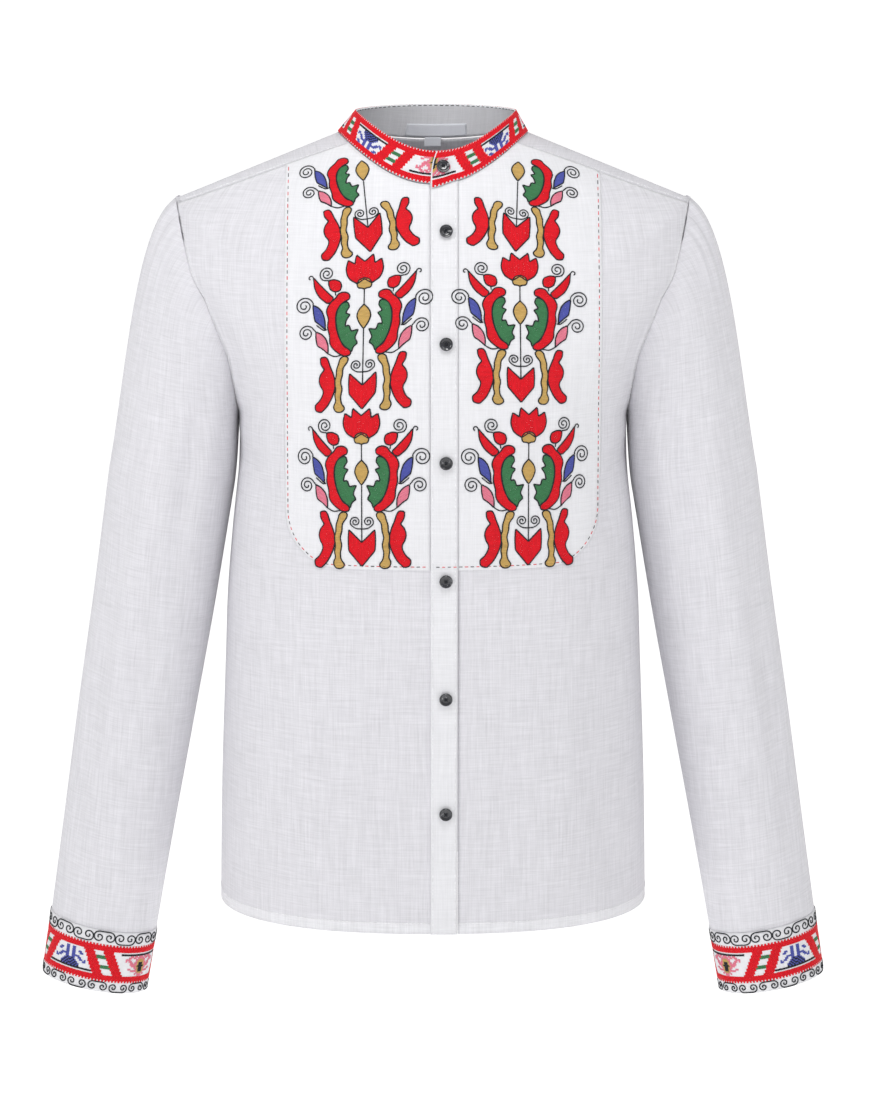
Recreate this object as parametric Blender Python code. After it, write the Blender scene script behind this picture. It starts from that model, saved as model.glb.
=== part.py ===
"""Band-collared linen shirt with embroidered front panels, filled out as it is worn, with nobody in it.

Sizes are in millimetres and become metres where a mesh is made. +X is the viewer's right, -Y the shirt's
front, +Z up. The origin is the middle of the neck opening, level with the points where the shoulders meet
the neck.

The body is a stack of rings. A ring is two half rings, front and back, each with a middle point, a side
point and a fullness. Stations number the rings: 0 is the hem, 1 the underarm, 2 the shoulder tip and 3 the
neck. Panels are cut out of the rings, and everything that lies on a panel uses the panel's own points,
moved out.
"""

import math

import bmesh
import bpy
import numpy as np
from mathutils import Matrix, Vector

MM = 0.001

# Cloth
CLOTH_WALL = 1.2
CUFF_WALL = 1.8
COLLAR_WALL = 1.5
PLACKET_WALL = 1.8
PANEL_WALL = 1.0
LABEL_WALL = 1.0
SEAM_GAP = 0.3
HALF_GAP = SEAM_GAP / 2

# Closure and embroidered panels
PLACKET_LEFT, PLACKET_RIGHT = -2.0, 21.0
UNDERLAP_EDGE = 19.0
BUTTON_X = 11.0
COLLAR_BUTTON_X = 8.5
BUTTON_HEIGHTS = (-74.5, -165.5, -263.5, -364.0, -467.0, -568.0)
BUTTON_RADIUS = 5.6
BUTTON_THICK = 2.4
BUTTON_SIDES = 14
PANEL_INNER = {-1: 2.3, 1: 21.3}
PANEL_OUTER = {-1: 125.0, 1: 142.5}
PANEL_BOTTOM_Z = -355.0
PANEL_CORNER = 46.0
PANEL_GAP = 0.6

# Yoke, collar, sleeves
YOKE_SEAM_NECK_Y, YOKE_SEAM_TIP_Y = 36.0, 13.0
YOKE_BACK_TIP_Y = 27.0
TIP_X, TIP_Z = 222.0, -55.0
NECK_X, NECK_Z = 80.5, 2.0
NECK_SAG = 0.2
COLLAR_SEAT = 1.5
COLLAR_OVER, COLLAR_UNDER = 2.0, -0.5
COLLAR_DROP = 4.0
COLLAR_LEAN = 2.5
COLLAR_TOP = {"front": (68.0, 20.5, -9.0, 62.5), "back": (68.0, 20.5, 22.0, 57.5)}
LABEL_WIDTH, LABEL_HEIGHT = 55.0, 11.0
TAB_WIDTH, TAB_HEIGHT = 14.0, 8.0
CUFF_HEIGHT = 57.0

# Half rings: station, height of the middle, depth at the middle, fullness
FRONT = (
    (0.00, -675.0, 128.0, 2.35),
    (0.25, -566.0, 125.5, 2.30),
    (0.50, -458.0, 125.0, 2.30),
    (0.75, -349.0, 128.0, 2.30),
    (1.00, -240.0, 126.0, 2.25),
    (1.50, -196.0, 121.0, 2.00),
    (2.00, -150.0, 112.0, 1.75),
    (2.50, -92.0, 95.0, 1.85),
    (3.00, -36.0, 74.0, 2.00),
)
BACK = (
    (0.00, -675.0, 119.0, 2.35),
    (0.25, -566.0, 115.0, 2.30),
    (0.50, -458.0, 113.0, 2.30),
    (0.75, -349.0, 118.0, 2.30),
    (1.00, -240.0, 125.0, 2.25),
    (1.50, -176.0, 122.0, 2.05),
    (2.00, -108.0, 113.0, 1.85),
    (2.50, -48.0, 92.0, 1.90),
    (3.00, -9.0, 63.0, 2.00),
)
# Side seam: station, half width, height
SIDE_SEAM = (
    (0.00, 189.5, -675.0),
    (0.25, 187.0, -566.0),
    (0.50, 182.5, -458.0),
    (0.65, 179.5, -392.0),
    (0.78, 174.5, -336.0),
    (0.90, 169.0, -283.0),
    (1.00, 168.0, -240.0),
)
# Armhole edge: level from underarm to shoulder tip, half width, distance from the middle plane, height
ARMHOLE_FRONT = (
    (0.00, 168.0, 0.0, -240.0),
    (0.12, 168.8, 24.0, -229.0),
    (0.30, 173.0, 42.0, -200.0),
    (0.50, 187.0, 50.0, -158.0),
    (0.70, 205.0, 42.0, -118.0),
    (0.85, 213.0, 28.0, -87.0),
)
ARMHOLE_BACK = (
    (0.00, 168.0, 0.0, -240.0),
    (0.12, 169.5, 24.0, -228.0),
    (0.30, 175.0, 44.0, -198.0),
    (0.50, 189.0, 55.0, -160.0),
    (0.70, 204.0, 53.0, -124.0),
    (0.85, 213.0, 42.0, -96.0),
)
# Sleeve tube: height of the middle, distance out, forward, half width, half depth
SLEEVE = (
    (-300.0, 229.0, 0.0, 54.8, 60.0),
    (-400.0, 244.7, -2.0, 53.2, 55.5),
    (-509.0, 263.4, -4.0, 51.2, 50.0),
    (-619.0, 281.9, -6.0, 48.6, 44.0),
    (-700.0, 295.3, -8.0, 47.2, 38.0),
    (-754.5, 304.4, -9.0, 46.6, 34.5),
)
SLEEVE_TILT = math.radians(11.2)
# Folds on the body: side (-1, 1, or 0 for both), face, x and z of one end, x and z of the other, depth,
# half width
BODY_FOLDS = (
    (0, "front", 208.0, -112.0, 160.0, -215.0, -2.6, 11.0),
    (0, "front", 196.0, -128.0, 172.0, -222.0, 1.8, 7.0),
    (-1, "front", 168.0, -250.0, 132.0, -330.0, -1.6, 12.0),
    (1, "front", 168.0, -246.0, 140.0, -345.0, -1.8, 12.0),
    (-1, "front", 128.0, -470.0, 140.0, -668.0, -1.8, 17.0),
    (-1, "front", 92.0, -440.0, 84.0, -668.0, 1.6, 20.0),
    (1, "front", 118.0, -450.0, 104.0, -668.0, 1.8, 20.0),
    (1, "front", 146.0, -500.0, 158.0, -668.0, -1.8, 14.0),
    (0, "back", 205.0, -110.0, 150.0, -250.0, -2.8, 13.0),
    (0, "back", 40.0, -130.0, 66.0, -640.0, 3.2, 16.0),
    (0, "back", 74.0, -150.0, 104.0, -660.0, -2.6, 15.0),
    (0, "back", 120.0, -330.0, 140.0, -668.0, 2.2, 17.0),
)
# Soft folds down the sleeve: place round it, from and to along its length (0 armhole, 1 cuff), depth,
# half width
SLEEVE_FOLDS = (
    (0.20, 0.10, 0.55, -2.6, 0.030),
    (0.30, 0.22, 0.80, 2.4, 0.035),
    (0.37, 0.45, 0.98, -2.2, 0.030),
    (0.66, 0.15, 0.70, -2.6, 0.035),
    (0.76, 0.35, 0.95, 2.4, 0.035),
    (0.86, 0.10, 0.60, -2.4, 0.030),
)

# Colours: linen, embroidered bands, buttons
WHITE = (0.86, 0.86, 0.89)
RED = (0.72, 0.02, 0.04)
BLACK = (0.02, 0.02, 0.025)

# How finely the panels are divided
HEM_TO_UNDERARM = 12
HEM_TO_PANEL, PANEL_TO_UNDERARM = 9, 3
UNDERARM_TO_TIP = 11
UNDER_COLUMNS = {-1: 2, 1: 0}
PANEL_COLUMNS, BESIDE_COLUMNS = 8, 4
BACK_COLUMNS = 11
YOKE_FRONT_COLUMNS, YOKE_TIP_COLUMNS = 2, 4
SLEEVE_CAP_ROWS, SLEEVE_TUBE_ROWS = 8, 10
COLLAR_COLUMNS = 48


def through(keys, values, at):
    """A smooth curve through the values at the keys, read at the places asked for."""
    keys, values, at = (np.asarray(v, float) for v in (keys, values, at))
    slopes = np.gradient(values, keys)
    i = np.clip(np.searchsorted(keys, at, side="right") - 1, 0, len(keys) - 2)
    step = keys[i + 1] - keys[i]
    t = (at - keys[i]) / step
    return (
        (1 + 2 * t) * (1 - t) ** 2 * values[i]
        + t * (1 - t) ** 2 * step * slopes[i]
        + t * t * (3 - 2 * t) * values[i + 1]
        - t * t * (1 - t) * step * slopes[i + 1]
    )


def ease(t):
    """0 to 1 with level ends."""
    t = np.clip(t, 0, 1)
    return t * t * (3 - 2 * t)


def column(table, number):
    """One column of a table."""
    return np.array([row[number] for row in table])


def row_at(table, at, columns=(1, 2, 3)):
    """Values between a table's rows, read by its first column."""
    keys = column(table, 0)
    return [float(through(keys, column(table, n), at)) for n in columns]


def unit(v):
    """Vectors at length one."""
    return v / np.maximum(np.linalg.norm(v, axis=-1, keepdims=True), 1e-12)


def end_angle(distance, depth, power):
    """The angle from the middle at which a half ring comes this near the middle plane."""
    return math.acos(min(1.0, (distance / depth) ** (1 / power)))


def tip_corner(table, distance):
    """The point of the shoulder-tip ring at this distance from the middle plane."""
    _, mid_z, depth, fullness = next(row for row in table if row[0] == 2.0)
    power = 2 / fullness
    sine = math.sin(end_angle(distance, depth, power))
    return TIP_X * sine**power, distance, mid_z + (TIP_Z - mid_z) * sine**2


def half_ring(face, station):
    """Half width, side height, middle height, depth, power, sag and end angle of the panel on a half ring."""
    table = FRONT if face == "front" else BACK
    mid_z, depth, fullness = row_at(table, station)
    power = 2 / fullness
    if station <= 1:
        half_width, side_z = row_at(SIDE_SEAM, station, (1, 2))
        return half_width, side_z, mid_z, depth, power, 0.0, math.pi / 2
    corner_y = YOKE_SEAM_TIP_Y if face == "front" else YOKE_BACK_TIP_Y
    if station < 2:
        edge = list(ARMHOLE_FRONT if face == "front" else ARMHOLE_BACK)
        edge.append((1.0, *tip_corner(table, corner_y)))
        edge_x, edge_y, edge_z = row_at(edge, station - 1)
        end = end_angle(edge_y, depth, power)
        sine = math.sin(end)
        return edge_x / sine**power, mid_z + (edge_z - mid_z) / sine**2, mid_z, depth, power, 0.0, end
    t = station - 2
    half_width = TIP_X + (NECK_X - TIP_X) * t
    side_z = TIP_Z + (NECK_Z - TIP_Z) * t
    seam_y = corner_y + (YOKE_SEAM_NECK_Y - corner_y) * t
    sag = NECK_SAG * float(ease(t)) if face == "front" else 0.0
    return half_width, side_z, mid_z, depth, power, sag, end_angle(seam_y, depth, power)


def on_ring(face, ring, angles):
    """Points of a half ring at signed angles from its middle, without folds."""
    half_width, side_z, mid_z, depth, power, sag, _ = ring
    sine, cosine = np.sin(angles), np.maximum(np.cos(angles), 0)
    x = half_width * np.sign(sine) * np.abs(sine) ** power
    y = (-depth if face == "front" else depth) * cosine**power
    return np.stack([x, y, side_z + (mid_z - side_z) * cosine ** (2 + 2 * sag)], axis=-1)


def angle_at(ring, x):
    """The signed angle at which a half ring is this far out."""
    half_width, power = ring[0], ring[4]
    return math.copysign(math.asin(min(1.0, (abs(x) / half_width) ** (1 / power))), x)


def fold_height(points, face):
    """How far the folds of the body lift each point."""
    lift = np.zeros(points.shape[:-1])
    for side, fold_face, x0, z0, x1, z1, depth, half in BODY_FOLDS:
        if fold_face != face:
            continue
        for sign in (-1, 1) if side == 0 else (side,):
            start, end = np.array([sign * x0, z0]), np.array([sign * x1, z1])
            along = end - start
            length = np.linalg.norm(along)
            away = points[..., [0, 2]] - start
            t = away @ along / length**2
            across = (away[..., 0] * along[1] - away[..., 1] * along[0]) / length
            ends = ease(np.clip(t / 0.3, 0, 1)) * ease(np.clip((1 - t) / 0.3, 0, 1))
            lift += depth * np.exp(-((across / half) ** 2)) * ends
    return lift


def body_surface(face, station, angles):
    """Points of the body's surface, folds included, and the outward direction at each."""
    step = 1e-3
    ring = half_ring(face, station)
    here = on_ring(face, ring, angles)
    above = on_ring(face, half_ring(face, min(3.0, station + step)), angles)
    below = on_ring(face, half_ring(face, max(0.0, station - step)), angles)
    round_it = on_ring(face, ring, angles + step) - on_ring(face, ring, angles - step)
    out = unit(np.cross(round_it, above - below))
    if face == "back":
        out = -out
    return here + out * fold_height(here, face)[..., None], out


def body_points(face, station, angles, lift=0.0):
    """Points of the body's surface, moved out by lift."""
    points, out = body_surface(face, station, angles)
    return points + out * lift


def angles_evenly(face, station, start, end, count):
    """Angles that divide a stretch of a half ring into equal lengths."""
    fine = np.linspace(start, end, 200)
    points = on_ring(face, half_ring(face, station), fine)
    run = np.concatenate([[0], np.cumsum(np.linalg.norm(np.diff(points, axis=0), axis=1))])
    return np.interp(np.linspace(0, run[-1], count + 1), run, fine)


def row_reach(station):
    """How far out the front reaches at a station: to its side, its armhole or the yoke seam."""
    ring = half_ring("front", station)
    return on_ring("front", ring, np.array([ring[-1]]))[0][0]


def cape_station(x):
    """The station above the shoulder tip at which the yoke seam is this far out."""
    low, high = 2.0, 3.0
    for _ in range(40):
        middle = (low + high) / 2
        low, high = (middle, high) if row_reach(middle) > x else (low, middle)
    return (low + high) / 2


def station_at_height(z):
    """The station below the underarm at which the rings, which lie level there, are this high."""
    return float(through(column(FRONT, 1)[:5], column(FRONT, 0)[:5], z))


def stations_armhole():
    """Stations from the underarm to the shoulder tip, closer together near the tip."""
    t = np.linspace(0, 1, UNDERARM_TO_TIP + 1)
    return list(1 + t * (1.35 - 0.35 * t))


def stations_cape():
    """Stations from the shoulder tip to the neck, one where each embroidered panel meets the yoke seam."""
    return [2.0, 2.2, 2.4, cape_station(PANEL_OUTER[1]), cape_station(PANEL_OUTER[-1]), 2.87, 3.0]


def panel_turn():
    """Heights above an embroidered panel's bottom edge at which its round corner is divided."""
    return [PANEL_CORNER * (1 - math.cos(math.radians(a))) for a in (0, 18, 36, 54, 72, 90)]


def stations_front():
    """The stations of the fronts and of what lies on them, from hem to neckline."""
    below = list(np.linspace(0, station_at_height(PANEL_BOTTOM_Z), HEM_TO_PANEL + 1)[:-1])
    turn = [station_at_height(PANEL_BOTTOM_Z + rise) for rise in panel_turn()]
    beside = list(np.linspace(turn[-1], 1, PANEL_TO_UNDERARM + 1)[1:-1])
    return [*below, *turn, *beside, *stations_armhole(), *stations_cape()[1:]]


def inset(grid, first_row=0.0, last_row=0.0, first_column=0.0, last_column=0.0):
    """Draws the edges of a grid of points in along the cloth."""
    grid = grid.copy()
    grid[0] += unit(grid[1] - grid[0]) * first_row
    grid[-1] += unit(grid[-2] - grid[-1]) * last_row
    grid[:, 0] += unit(grid[:, 1] - grid[:, 0]) * first_column
    grid[:, -1] += unit(grid[:, -2] - grid[:, -1]) * last_column
    return grid


def finished(name, mesh_maker, wall, colour, roughness=0.85):
    """Makes an object from a bmesh, gives it its wall, its finish and smooth shading."""
    mesh = bpy.data.meshes.new(name)
    mesh_maker.to_mesh(mesh)
    mesh_maker.free()
    shape = bpy.data.objects.new(name, mesh)
    bpy.context.scene.collection.objects.link(shape)
    if wall:
        thicken = shape.modifiers.new("wall", "SOLIDIFY")
        thicken.thickness = wall * MM
        thicken.offset = 0
        thicken.use_even_offset = True
    material = bpy.data.materials.new(name)
    material.use_nodes = True
    shader = material.node_tree.nodes["Principled BSDF"]
    shader.inputs["Base Color"].default_value = (*colour, 1)
    shader.inputs["Roughness"].default_value = roughness
    mesh.materials.append(material)
    mesh.shade_smooth()
    mesh.set_sharp_from_angle(angle=math.radians(50))
    return shape


def cloth(name, grid, wall, colour, closed=False):
    """One panel: a grid of points joined into a wall of even thickness. A closed grid runs round a tube."""
    maker = bmesh.new()
    rows, columns = grid.shape[:2]
    corner = [[maker.verts.new(Vector(grid[r, c]) * MM) for c in range(columns)] for r in range(rows)]
    for r in range(rows - 1):
        for c in range(columns if closed else columns - 1):
            d = (c + 1) % columns
            maker.faces.new((corner[r][c], corner[r][d], corner[r + 1][d], corner[r + 1][c]))
    return finished(name, maker, wall, colour)


def front_rows(side, lift=0.0):
    """Rows of points on one front, from the closure to its edge, with columns on the panel's edges."""
    rows = []
    count = UNDER_COLUMNS[side]
    for station in stations_front():
        ring = half_ring("front", station)
        start, end = angle_at(ring, PANEL_INNER[side]), ring[-1]
        edge = min(angle_at(ring, PANEL_OUTER[side]), start + (end - start) * 0.985)
        angles = angles_evenly("front", station, start, edge, PANEL_COLUMNS)
        beside = angles_evenly("front", station, edge, end, BESIDE_COLUMNS)
        under = np.linspace(angle_at(ring, -UNDERLAP_EDGE), start, count + 1)[:count]
        rows.append(body_points("front", station, side * np.concatenate([under, angles, beside[1:]]), lift))
    return np.array(rows)


def yoke_seam_inset(angles):
    """How far each panel stops short of the back yoke seam, where the cloth bends across it."""
    below, above = (body_surface("back", station, angles)[1] for station in (1.99, 2.01))
    bend = np.sum(below * above, axis=1)
    return HALF_GAP + CLOTH_WALL / 2 * np.sqrt((1 - bend) / (1 + bend))


def back_grid():
    """The points of the back, from side to side and from the hem to the yoke seam."""
    rows = []
    for station in [*np.linspace(0, 1, HEM_TO_UNDERARM + 1), *stations_armhole()[1:]]:
        half = angles_evenly("back", station, 0, half_ring("back", station)[-1], BACK_COLUMNS)
        angles = np.concatenate([-half[:0:-1], half])
        rows.append(body_points("back", station, angles))
    seam = yoke_seam_inset(angles)[:, None]
    return inset(np.array(rows), last_row=seam, first_column=HALF_GAP, last_column=HALF_GAP)


def yoke_side_angles(station):
    """Angles of the yoke on one side: front seam to ridge, and ridge to the back corner."""
    front_end, back_end = (half_ring(face, station)[-1] for face in ("front", "back"))
    front = angles_evenly("front", station, front_end, math.pi / 2, YOKE_FRONT_COLUMNS)
    back = angles_evenly("back", station, math.pi / 2, back_end, YOKE_TIP_COLUMNS)
    return front, back


def yoke_grid():
    """The points of the yoke, from one front seam over the shoulder and round the back to the other."""
    rows = []
    for station in stations_cape():
        front, back = yoke_side_angles(station)
        half = angles_evenly("back", station, 0, back[-1], BACK_COLUMNS)
        over_left_hand = body_points("front", station, front)
        across = np.concatenate([back[1:-1], half[::-1], -half[1:], -back[-2:0:-1]])
        behind = body_points("back", station, across)
        over_right_hand = body_points("front", station, -front[::-1])
        rows.append(np.concatenate([over_left_hand, behind, over_right_hand]))
    front, back = yoke_side_angles(2.0)
    half = angles_evenly("back", 2.0, 0, back[-1], BACK_COLUMNS)
    seam = np.full((len(rows[0]), 1), HALF_GAP)
    start = len(front) + len(back) - 2
    seam[start : start + 2 * BACK_COLUMNS + 1, 0] = yoke_seam_inset(np.concatenate([half[::-1], -half[1:]]))
    return inset(np.array(rows), seam, HALF_GAP, HALF_GAP, HALF_GAP)


def armhole_loop(side):
    """The armhole's points from the underarm up the front, over the tip and down the back, the body's
    outward direction at each, and the share of the way round (0 underarm, 0.5 shoulder tip)."""
    up = stations_armhole()
    front, back = yoke_side_angles(2.0)
    places = [("front", station, half_ring("front", station)[-1]) for station in up[:-1]]
    places += [("front", 2.0, angle) for angle in front]
    places += [("back", 2.0, angle) for angle in back[1:]]
    places += [("back", station, half_ring("back", station)[-1]) for station in up[-2:0:-1]]
    surface = [body_surface(face, station, np.array([side * angle])) for face, station, angle in places]
    points, out = (np.concatenate(parts) for parts in zip(*surface))
    run = np.linalg.norm(np.roll(points, -1, axis=0) - points, axis=1)
    place = np.concatenate([[0], np.cumsum(run)[:-1]])
    tip = place[len(up) - 1 + YOKE_FRONT_COLUMNS]
    place = np.where(place <= tip, 0.5 * place / tip, 0.5 + 0.5 * (place - tip) / (run.sum() - tip))
    return points, out, place


def tube_ring(side, height, place):
    """A ring of the sleeve's tube, square to the sleeve."""
    upward = SLEEVE[::-1]
    out, forward, half_width, half_depth = row_at(upward, height, (1, 2, 3, 4))
    angle = 2 * math.pi * place - math.pi / 2
    reach = half_width * np.sin(angle)
    x = out + reach * math.cos(SLEEVE_TILT)
    y = forward - half_depth * np.cos(angle)
    z = height + reach * math.sin(SLEEVE_TILT)
    return np.stack([side * x, y, z], axis=-1)


def sleeve_folds(place, along):
    """How far the soft folds lift the sleeve at one distance along it."""
    lift = np.zeros(len(place))
    for centre, start, end, depth, half in SLEEVE_FOLDS:
        t = (along - start) / (end - start)
        fade = float(ease(t / 0.4) * ease((1 - t) / 0.4))
        lift += depth * fade * np.exp(-(((place - centre) / half) ** 2))
    return lift


def sleeve_grid(side):
    """The points of a sleeve down to its cuff, armhole first, and the places round the armhole."""
    loop, out, place = armhole_loop(side)
    angle = 2 * math.pi * place - math.pi / 2
    high = (0.5 + 0.5 * np.sin(angle))[:, None]
    leave = np.array([0.10 * side, 0, -0.99]) * (1 - high) + np.array([0.85 * side, 0, -0.52]) * high
    leave[:, 1] -= 0.35 * np.cos(angle)
    leave = unit(leave)
    along_edge = unit(np.roll(loop, -1, axis=0) - np.roll(loop, 1, axis=0))
    arrive = side * np.cross(along_edge, out)
    across_edge = unit(leave - along_edge * np.sum(leave * along_edge, axis=1, keepdims=True))
    bend = np.sum(across_edge * arrive, axis=1)
    past = CLOTH_WALL / 2 + SEAM_GAP
    beyond = past * np.where(bend > 0, 1, np.sqrt(np.maximum(0, 1 - bend**2)))
    above = (CLOTH_WALL + SEAM_GAP) * (1 - bend) / 2
    start = loop + arrive * beyond[:, None] + out * above[:, None]
    top = tube_ring(side, SLEEVE[0][0], place)
    axis = np.array([side * math.sin(SLEEVE_TILT), 0.0, -math.cos(SLEEVE_TILT)])
    span = np.linalg.norm(top - start, axis=1, keepdims=True)
    rows, run = [], []
    for t in np.linspace(0, 1, SLEEVE_CAP_ROWS + 1) ** 1.15:
        rows.append(
            (1 + 2 * t) * (1 - t) ** 2 * start
            + t * (1 - t) ** 2 * span * 0.5 * leave
            + t * t * (3 - 2 * t) * top
            - t * t * (1 - t) * span * axis
        )
        run.append(0.35 * t)
    cuff_top = SLEEVE[-1][0] + CUFF_HEIGHT
    for t in np.linspace(0, 1, SLEEVE_TUBE_ROWS + 1)[1:]:
        rows.append(tube_ring(side, SLEEVE[0][0] + (cuff_top - SLEEVE[0][0]) * t, place))
        run.append(0.35 + 0.65 * t)
    grid = np.array(rows)
    outwards = unit(grid - grid.mean(axis=1, keepdims=True))
    lift = np.array([sleeve_folds(place, along) for along in run])
    return grid + outwards * lift[..., None], place


def make_sleeves():
    """Both sleeves, each with its straight cuff."""
    for side, word in ((-1, "right"), (1, "left")):
        grid, place = sleeve_grid(side)
        sleeve = inset(grid, last_row=HALF_GAP)
        cloth(f"sleeve_{word}", sleeve, CLOTH_WALL, WHITE, closed=True)
        heights = np.linspace(SLEEVE[-1][0] + CUFF_HEIGHT, SLEEVE[-1][0], 4)
        cuff = np.array([tube_ring(side, height, place) for height in heights])
        cloth(f"cuff_{word}", inset(cuff, first_row=HALF_GAP), CUFF_WALL, RED, closed=True)


def station_at(x, z):
    """The station at which the front's surface, this far out, is this high."""
    low, high = 0.0, 3.0
    for _ in range(40):
        middle = (low + high) / 2
        ring = half_ring("front", middle)
        point = on_ring("front", ring, np.array([angle_at(ring, x)]))[0]
        low, high = (middle, high) if point[2] < z else (low, middle)
    return (low + high) / 2


def front_point(x, station, lift):
    """A point of the front's surface, this far out at this station, moved out by lift."""
    ring = half_ring("front", station)
    return body_points("front", station, np.array([angle_at(ring, x)]), lift)[0]


def closure_drop(x):
    """How much lower than the neckline the placket's top and the collar's upper end sit at the closure."""
    return COLLAR_DROP * float(np.clip((15 - x) / 18, 0, 1.1))


def placket_grid():
    """The points of the placket, whose top edge slopes down to the closure's edge."""
    lift = CLOTH_WALL / 2 + SEAM_GAP + PLACKET_WALL / 2
    xs = np.linspace(PLACKET_LEFT, PLACKET_RIGHT, 4)
    rows = [[front_point(x, station, lift) for x in xs] for station in stations_front()[:-1]]
    neckline = [front_point(x, 3.0, 0)[2] for x in xs]
    rows.append([front_point(x, station_at(x, z - closure_drop(x)), lift) for x, z in zip(xs, neckline)])
    return inset(np.array(rows), last_row=HALF_GAP)


def panel_grid(side):
    """The points of an embroidered panel, which has round bottom corners and ends at the yoke and neck."""
    lift = CLOTH_WALL / 2 + PANEL_GAP + PANEL_WALL / 2
    rises = panel_turn()
    rows = []
    for number, row in enumerate(front_rows(side, lift)[HEM_TO_PANEL:, UNDER_COLUMNS[side] :]):
        station = stations_front()[HEM_TO_PANEL + number]
        if station >= cape_station(PANEL_OUTER[side]) - 1e-6:
            row[PANEL_COLUMNS] = row[-1]
        row = row[: PANEL_COLUMNS + 1]
        rise = rises[number] if number < len(rises) else PANEL_CORNER
        outer = PANEL_OUTER[side] - PANEL_CORNER + math.sqrt(PANEL_CORNER**2 - (PANEL_CORNER - rise) ** 2)
        x = side * row[:, 0]
        if outer < PANEL_OUTER[side]:
            whole = x[x < outer - 1]
            wanted = [*whole, *np.linspace(whole[-1], outer, PANEL_COLUMNS + 2 - len(whole))[1:]]
            row = np.stack([np.interp(wanted, x, row[:, n]) for n in range(3)], axis=1)
        rows.append(row)
    return inset(np.array(rows), last_row=0.4, last_column=0.4)


def collar_rings(face):
    """The collar's seam ring and its top ring on one face."""
    bottom = half_ring(face, 3.0)
    half_width, side_z, mid_z, depth = COLLAR_TOP[face]
    return bottom, (half_width, side_z, mid_z, depth, bottom[4], bottom[5], math.pi / 2)


def collar_point(turn, height, lift=0.0):
    """A point of the collar. Turn goes from -1 (front) over 0 (back) to 1 (front), height from 0 to 1."""
    face = "front" if abs(turn) > 0.5 else "back"
    angle = math.pi * (math.copysign(1, turn) - turn) if face == "front" else math.pi * turn
    bottom, top = (on_ring(face, ring, np.array([angle]))[0] for ring in collar_rings(face))
    here = bottom + (top - bottom) * height
    here += unit(np.array([here[0] / NECK_X**2, here[1] / 70.0**2, 0])) * lift
    here[0] += COLLAR_LEAN * height
    here[2] += COLLAR_SEAT * (1 - height)
    return here


def turn_at(side, x, height):
    """How far round the collar, going round by this side, its front half comes to this place."""
    low, high = 0.5, 1.3
    for _ in range(40):
        middle = (low + high) / 2
        short_of_it = side * collar_point(side * middle, height)[0] > side * x
        low, high = (middle, high) if short_of_it else (low, middle)
    return side * (low + high) / 2


def collar_grid():
    """The points of the collar, from the end that lies under, round the back, to the end over it."""
    rows = []
    for height in (0.0, 0.34, 0.67, 1.0):
        under = turn_at(-1, UNDERLAP_EDGE - 3.0, height)
        over = turn_at(1, PLACKET_LEFT + 0.2 + 5.0 * height**3, height)
        row = []
        for turn in np.linspace(under, over, COLLAR_COLUMNS + 1):
            lift = COLLAR_OVER * float(ease((turn - over + 0.22) / 0.11))
            lift += COLLAR_UNDER * float(ease((under + 0.22 - turn) / 0.11))
            point = collar_point(turn, height, lift)
            if turn > 0.9:
                point += np.array([0, -0.6, -1]) * closure_drop(point[0]) * (1 - height)
            row.append(point)
        rows.append(row)
    return np.array(rows)


def make_collar():
    """The band collar, and the blank label and size tab sewn inside its back."""
    cloth("collar_band", collar_grid(), COLLAR_WALL, RED)
    inward = -(COLLAR_WALL / 2 + SEAM_GAP + LABEL_WALL / 2)
    for name, width, heights, shift in (
        ("neck_label", LABEL_WIDTH, np.linspace(0.04, 0.04 + LABEL_HEIGHT / 29.5, 2), 2.5),
        ("size_tab", TAB_WIDTH, np.linspace(0.025 - TAB_HEIGHT / 29.5, 0.025, 2), 0.0),
    ):
        reach = width / (math.pi * 156.0)
        turns = np.linspace(-reach, reach, 7) + shift / (math.pi * 78.0)
        grid = np.array([[collar_point(turn, height, inward) for turn in turns] for height in heights])
        cloth(name, grid, LABEL_WALL, WHITE)


def button_shape():
    """A sew-through button: a dished disc with a rounded rim, and four holes."""
    maker = bmesh.new()
    outline = (
        (0.0, 0.0),
        (0.80, 0.0),
        (1.0, 0.30),
        (1.0, 0.70),
        (0.86, 1.0),
        (0.62, 0.74),
        (0.0, 0.70),
    )
    profile = [maker.verts.new((r * BUTTON_RADIUS * MM, 0, h * BUTTON_THICK * MM)) for r, h in outline]
    for a, b in zip(profile, profile[1:]):
        maker.edges.new((a, b))
    bmesh.ops.spin(
        maker,
        geom=maker.verts[:] + maker.edges[:],
        axis=(0, 0, 1),
        cent=(0, 0, 0),
        angle=2 * math.pi,
        steps=BUTTON_SIDES,
        use_merge=True,
    )
    bmesh.ops.remove_doubles(maker, verts=maker.verts[:], dist=1e-6)
    bmesh.ops.recalc_face_normals(maker, faces=maker.faces[:])
    return maker


def button_mesh():
    """The button's mesh, with its four holes cut."""
    blank = finished("button_blank", button_shape(), 0, BLACK, roughness=0.2)
    maker = bmesh.new()
    for quarter in range(4):
        angle = math.pi / 4 + quarter * math.pi / 2
        bmesh.ops.create_cone(
            maker,
            cap_ends=True,
            segments=6,
            radius1=0.6 * MM,
            radius2=0.6 * MM,
            depth=3 * BUTTON_THICK * MM,
            matrix=Matrix.Translation(Vector((math.cos(angle), math.sin(angle), 0)) * 1.5 * MM),
        )
    needle = finished("button_needle", maker, 0, BLACK)
    holes = blank.modifiers.new("holes", "BOOLEAN")
    holes.operation = "DIFFERENCE"
    holes.object = needle
    mesh = bpy.data.meshes.new_from_object(blank.evaluated_get(bpy.context.evaluated_depsgraph_get()))
    for spare in (blank, needle):
        bpy.data.objects.remove(spare)
    return mesh


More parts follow.
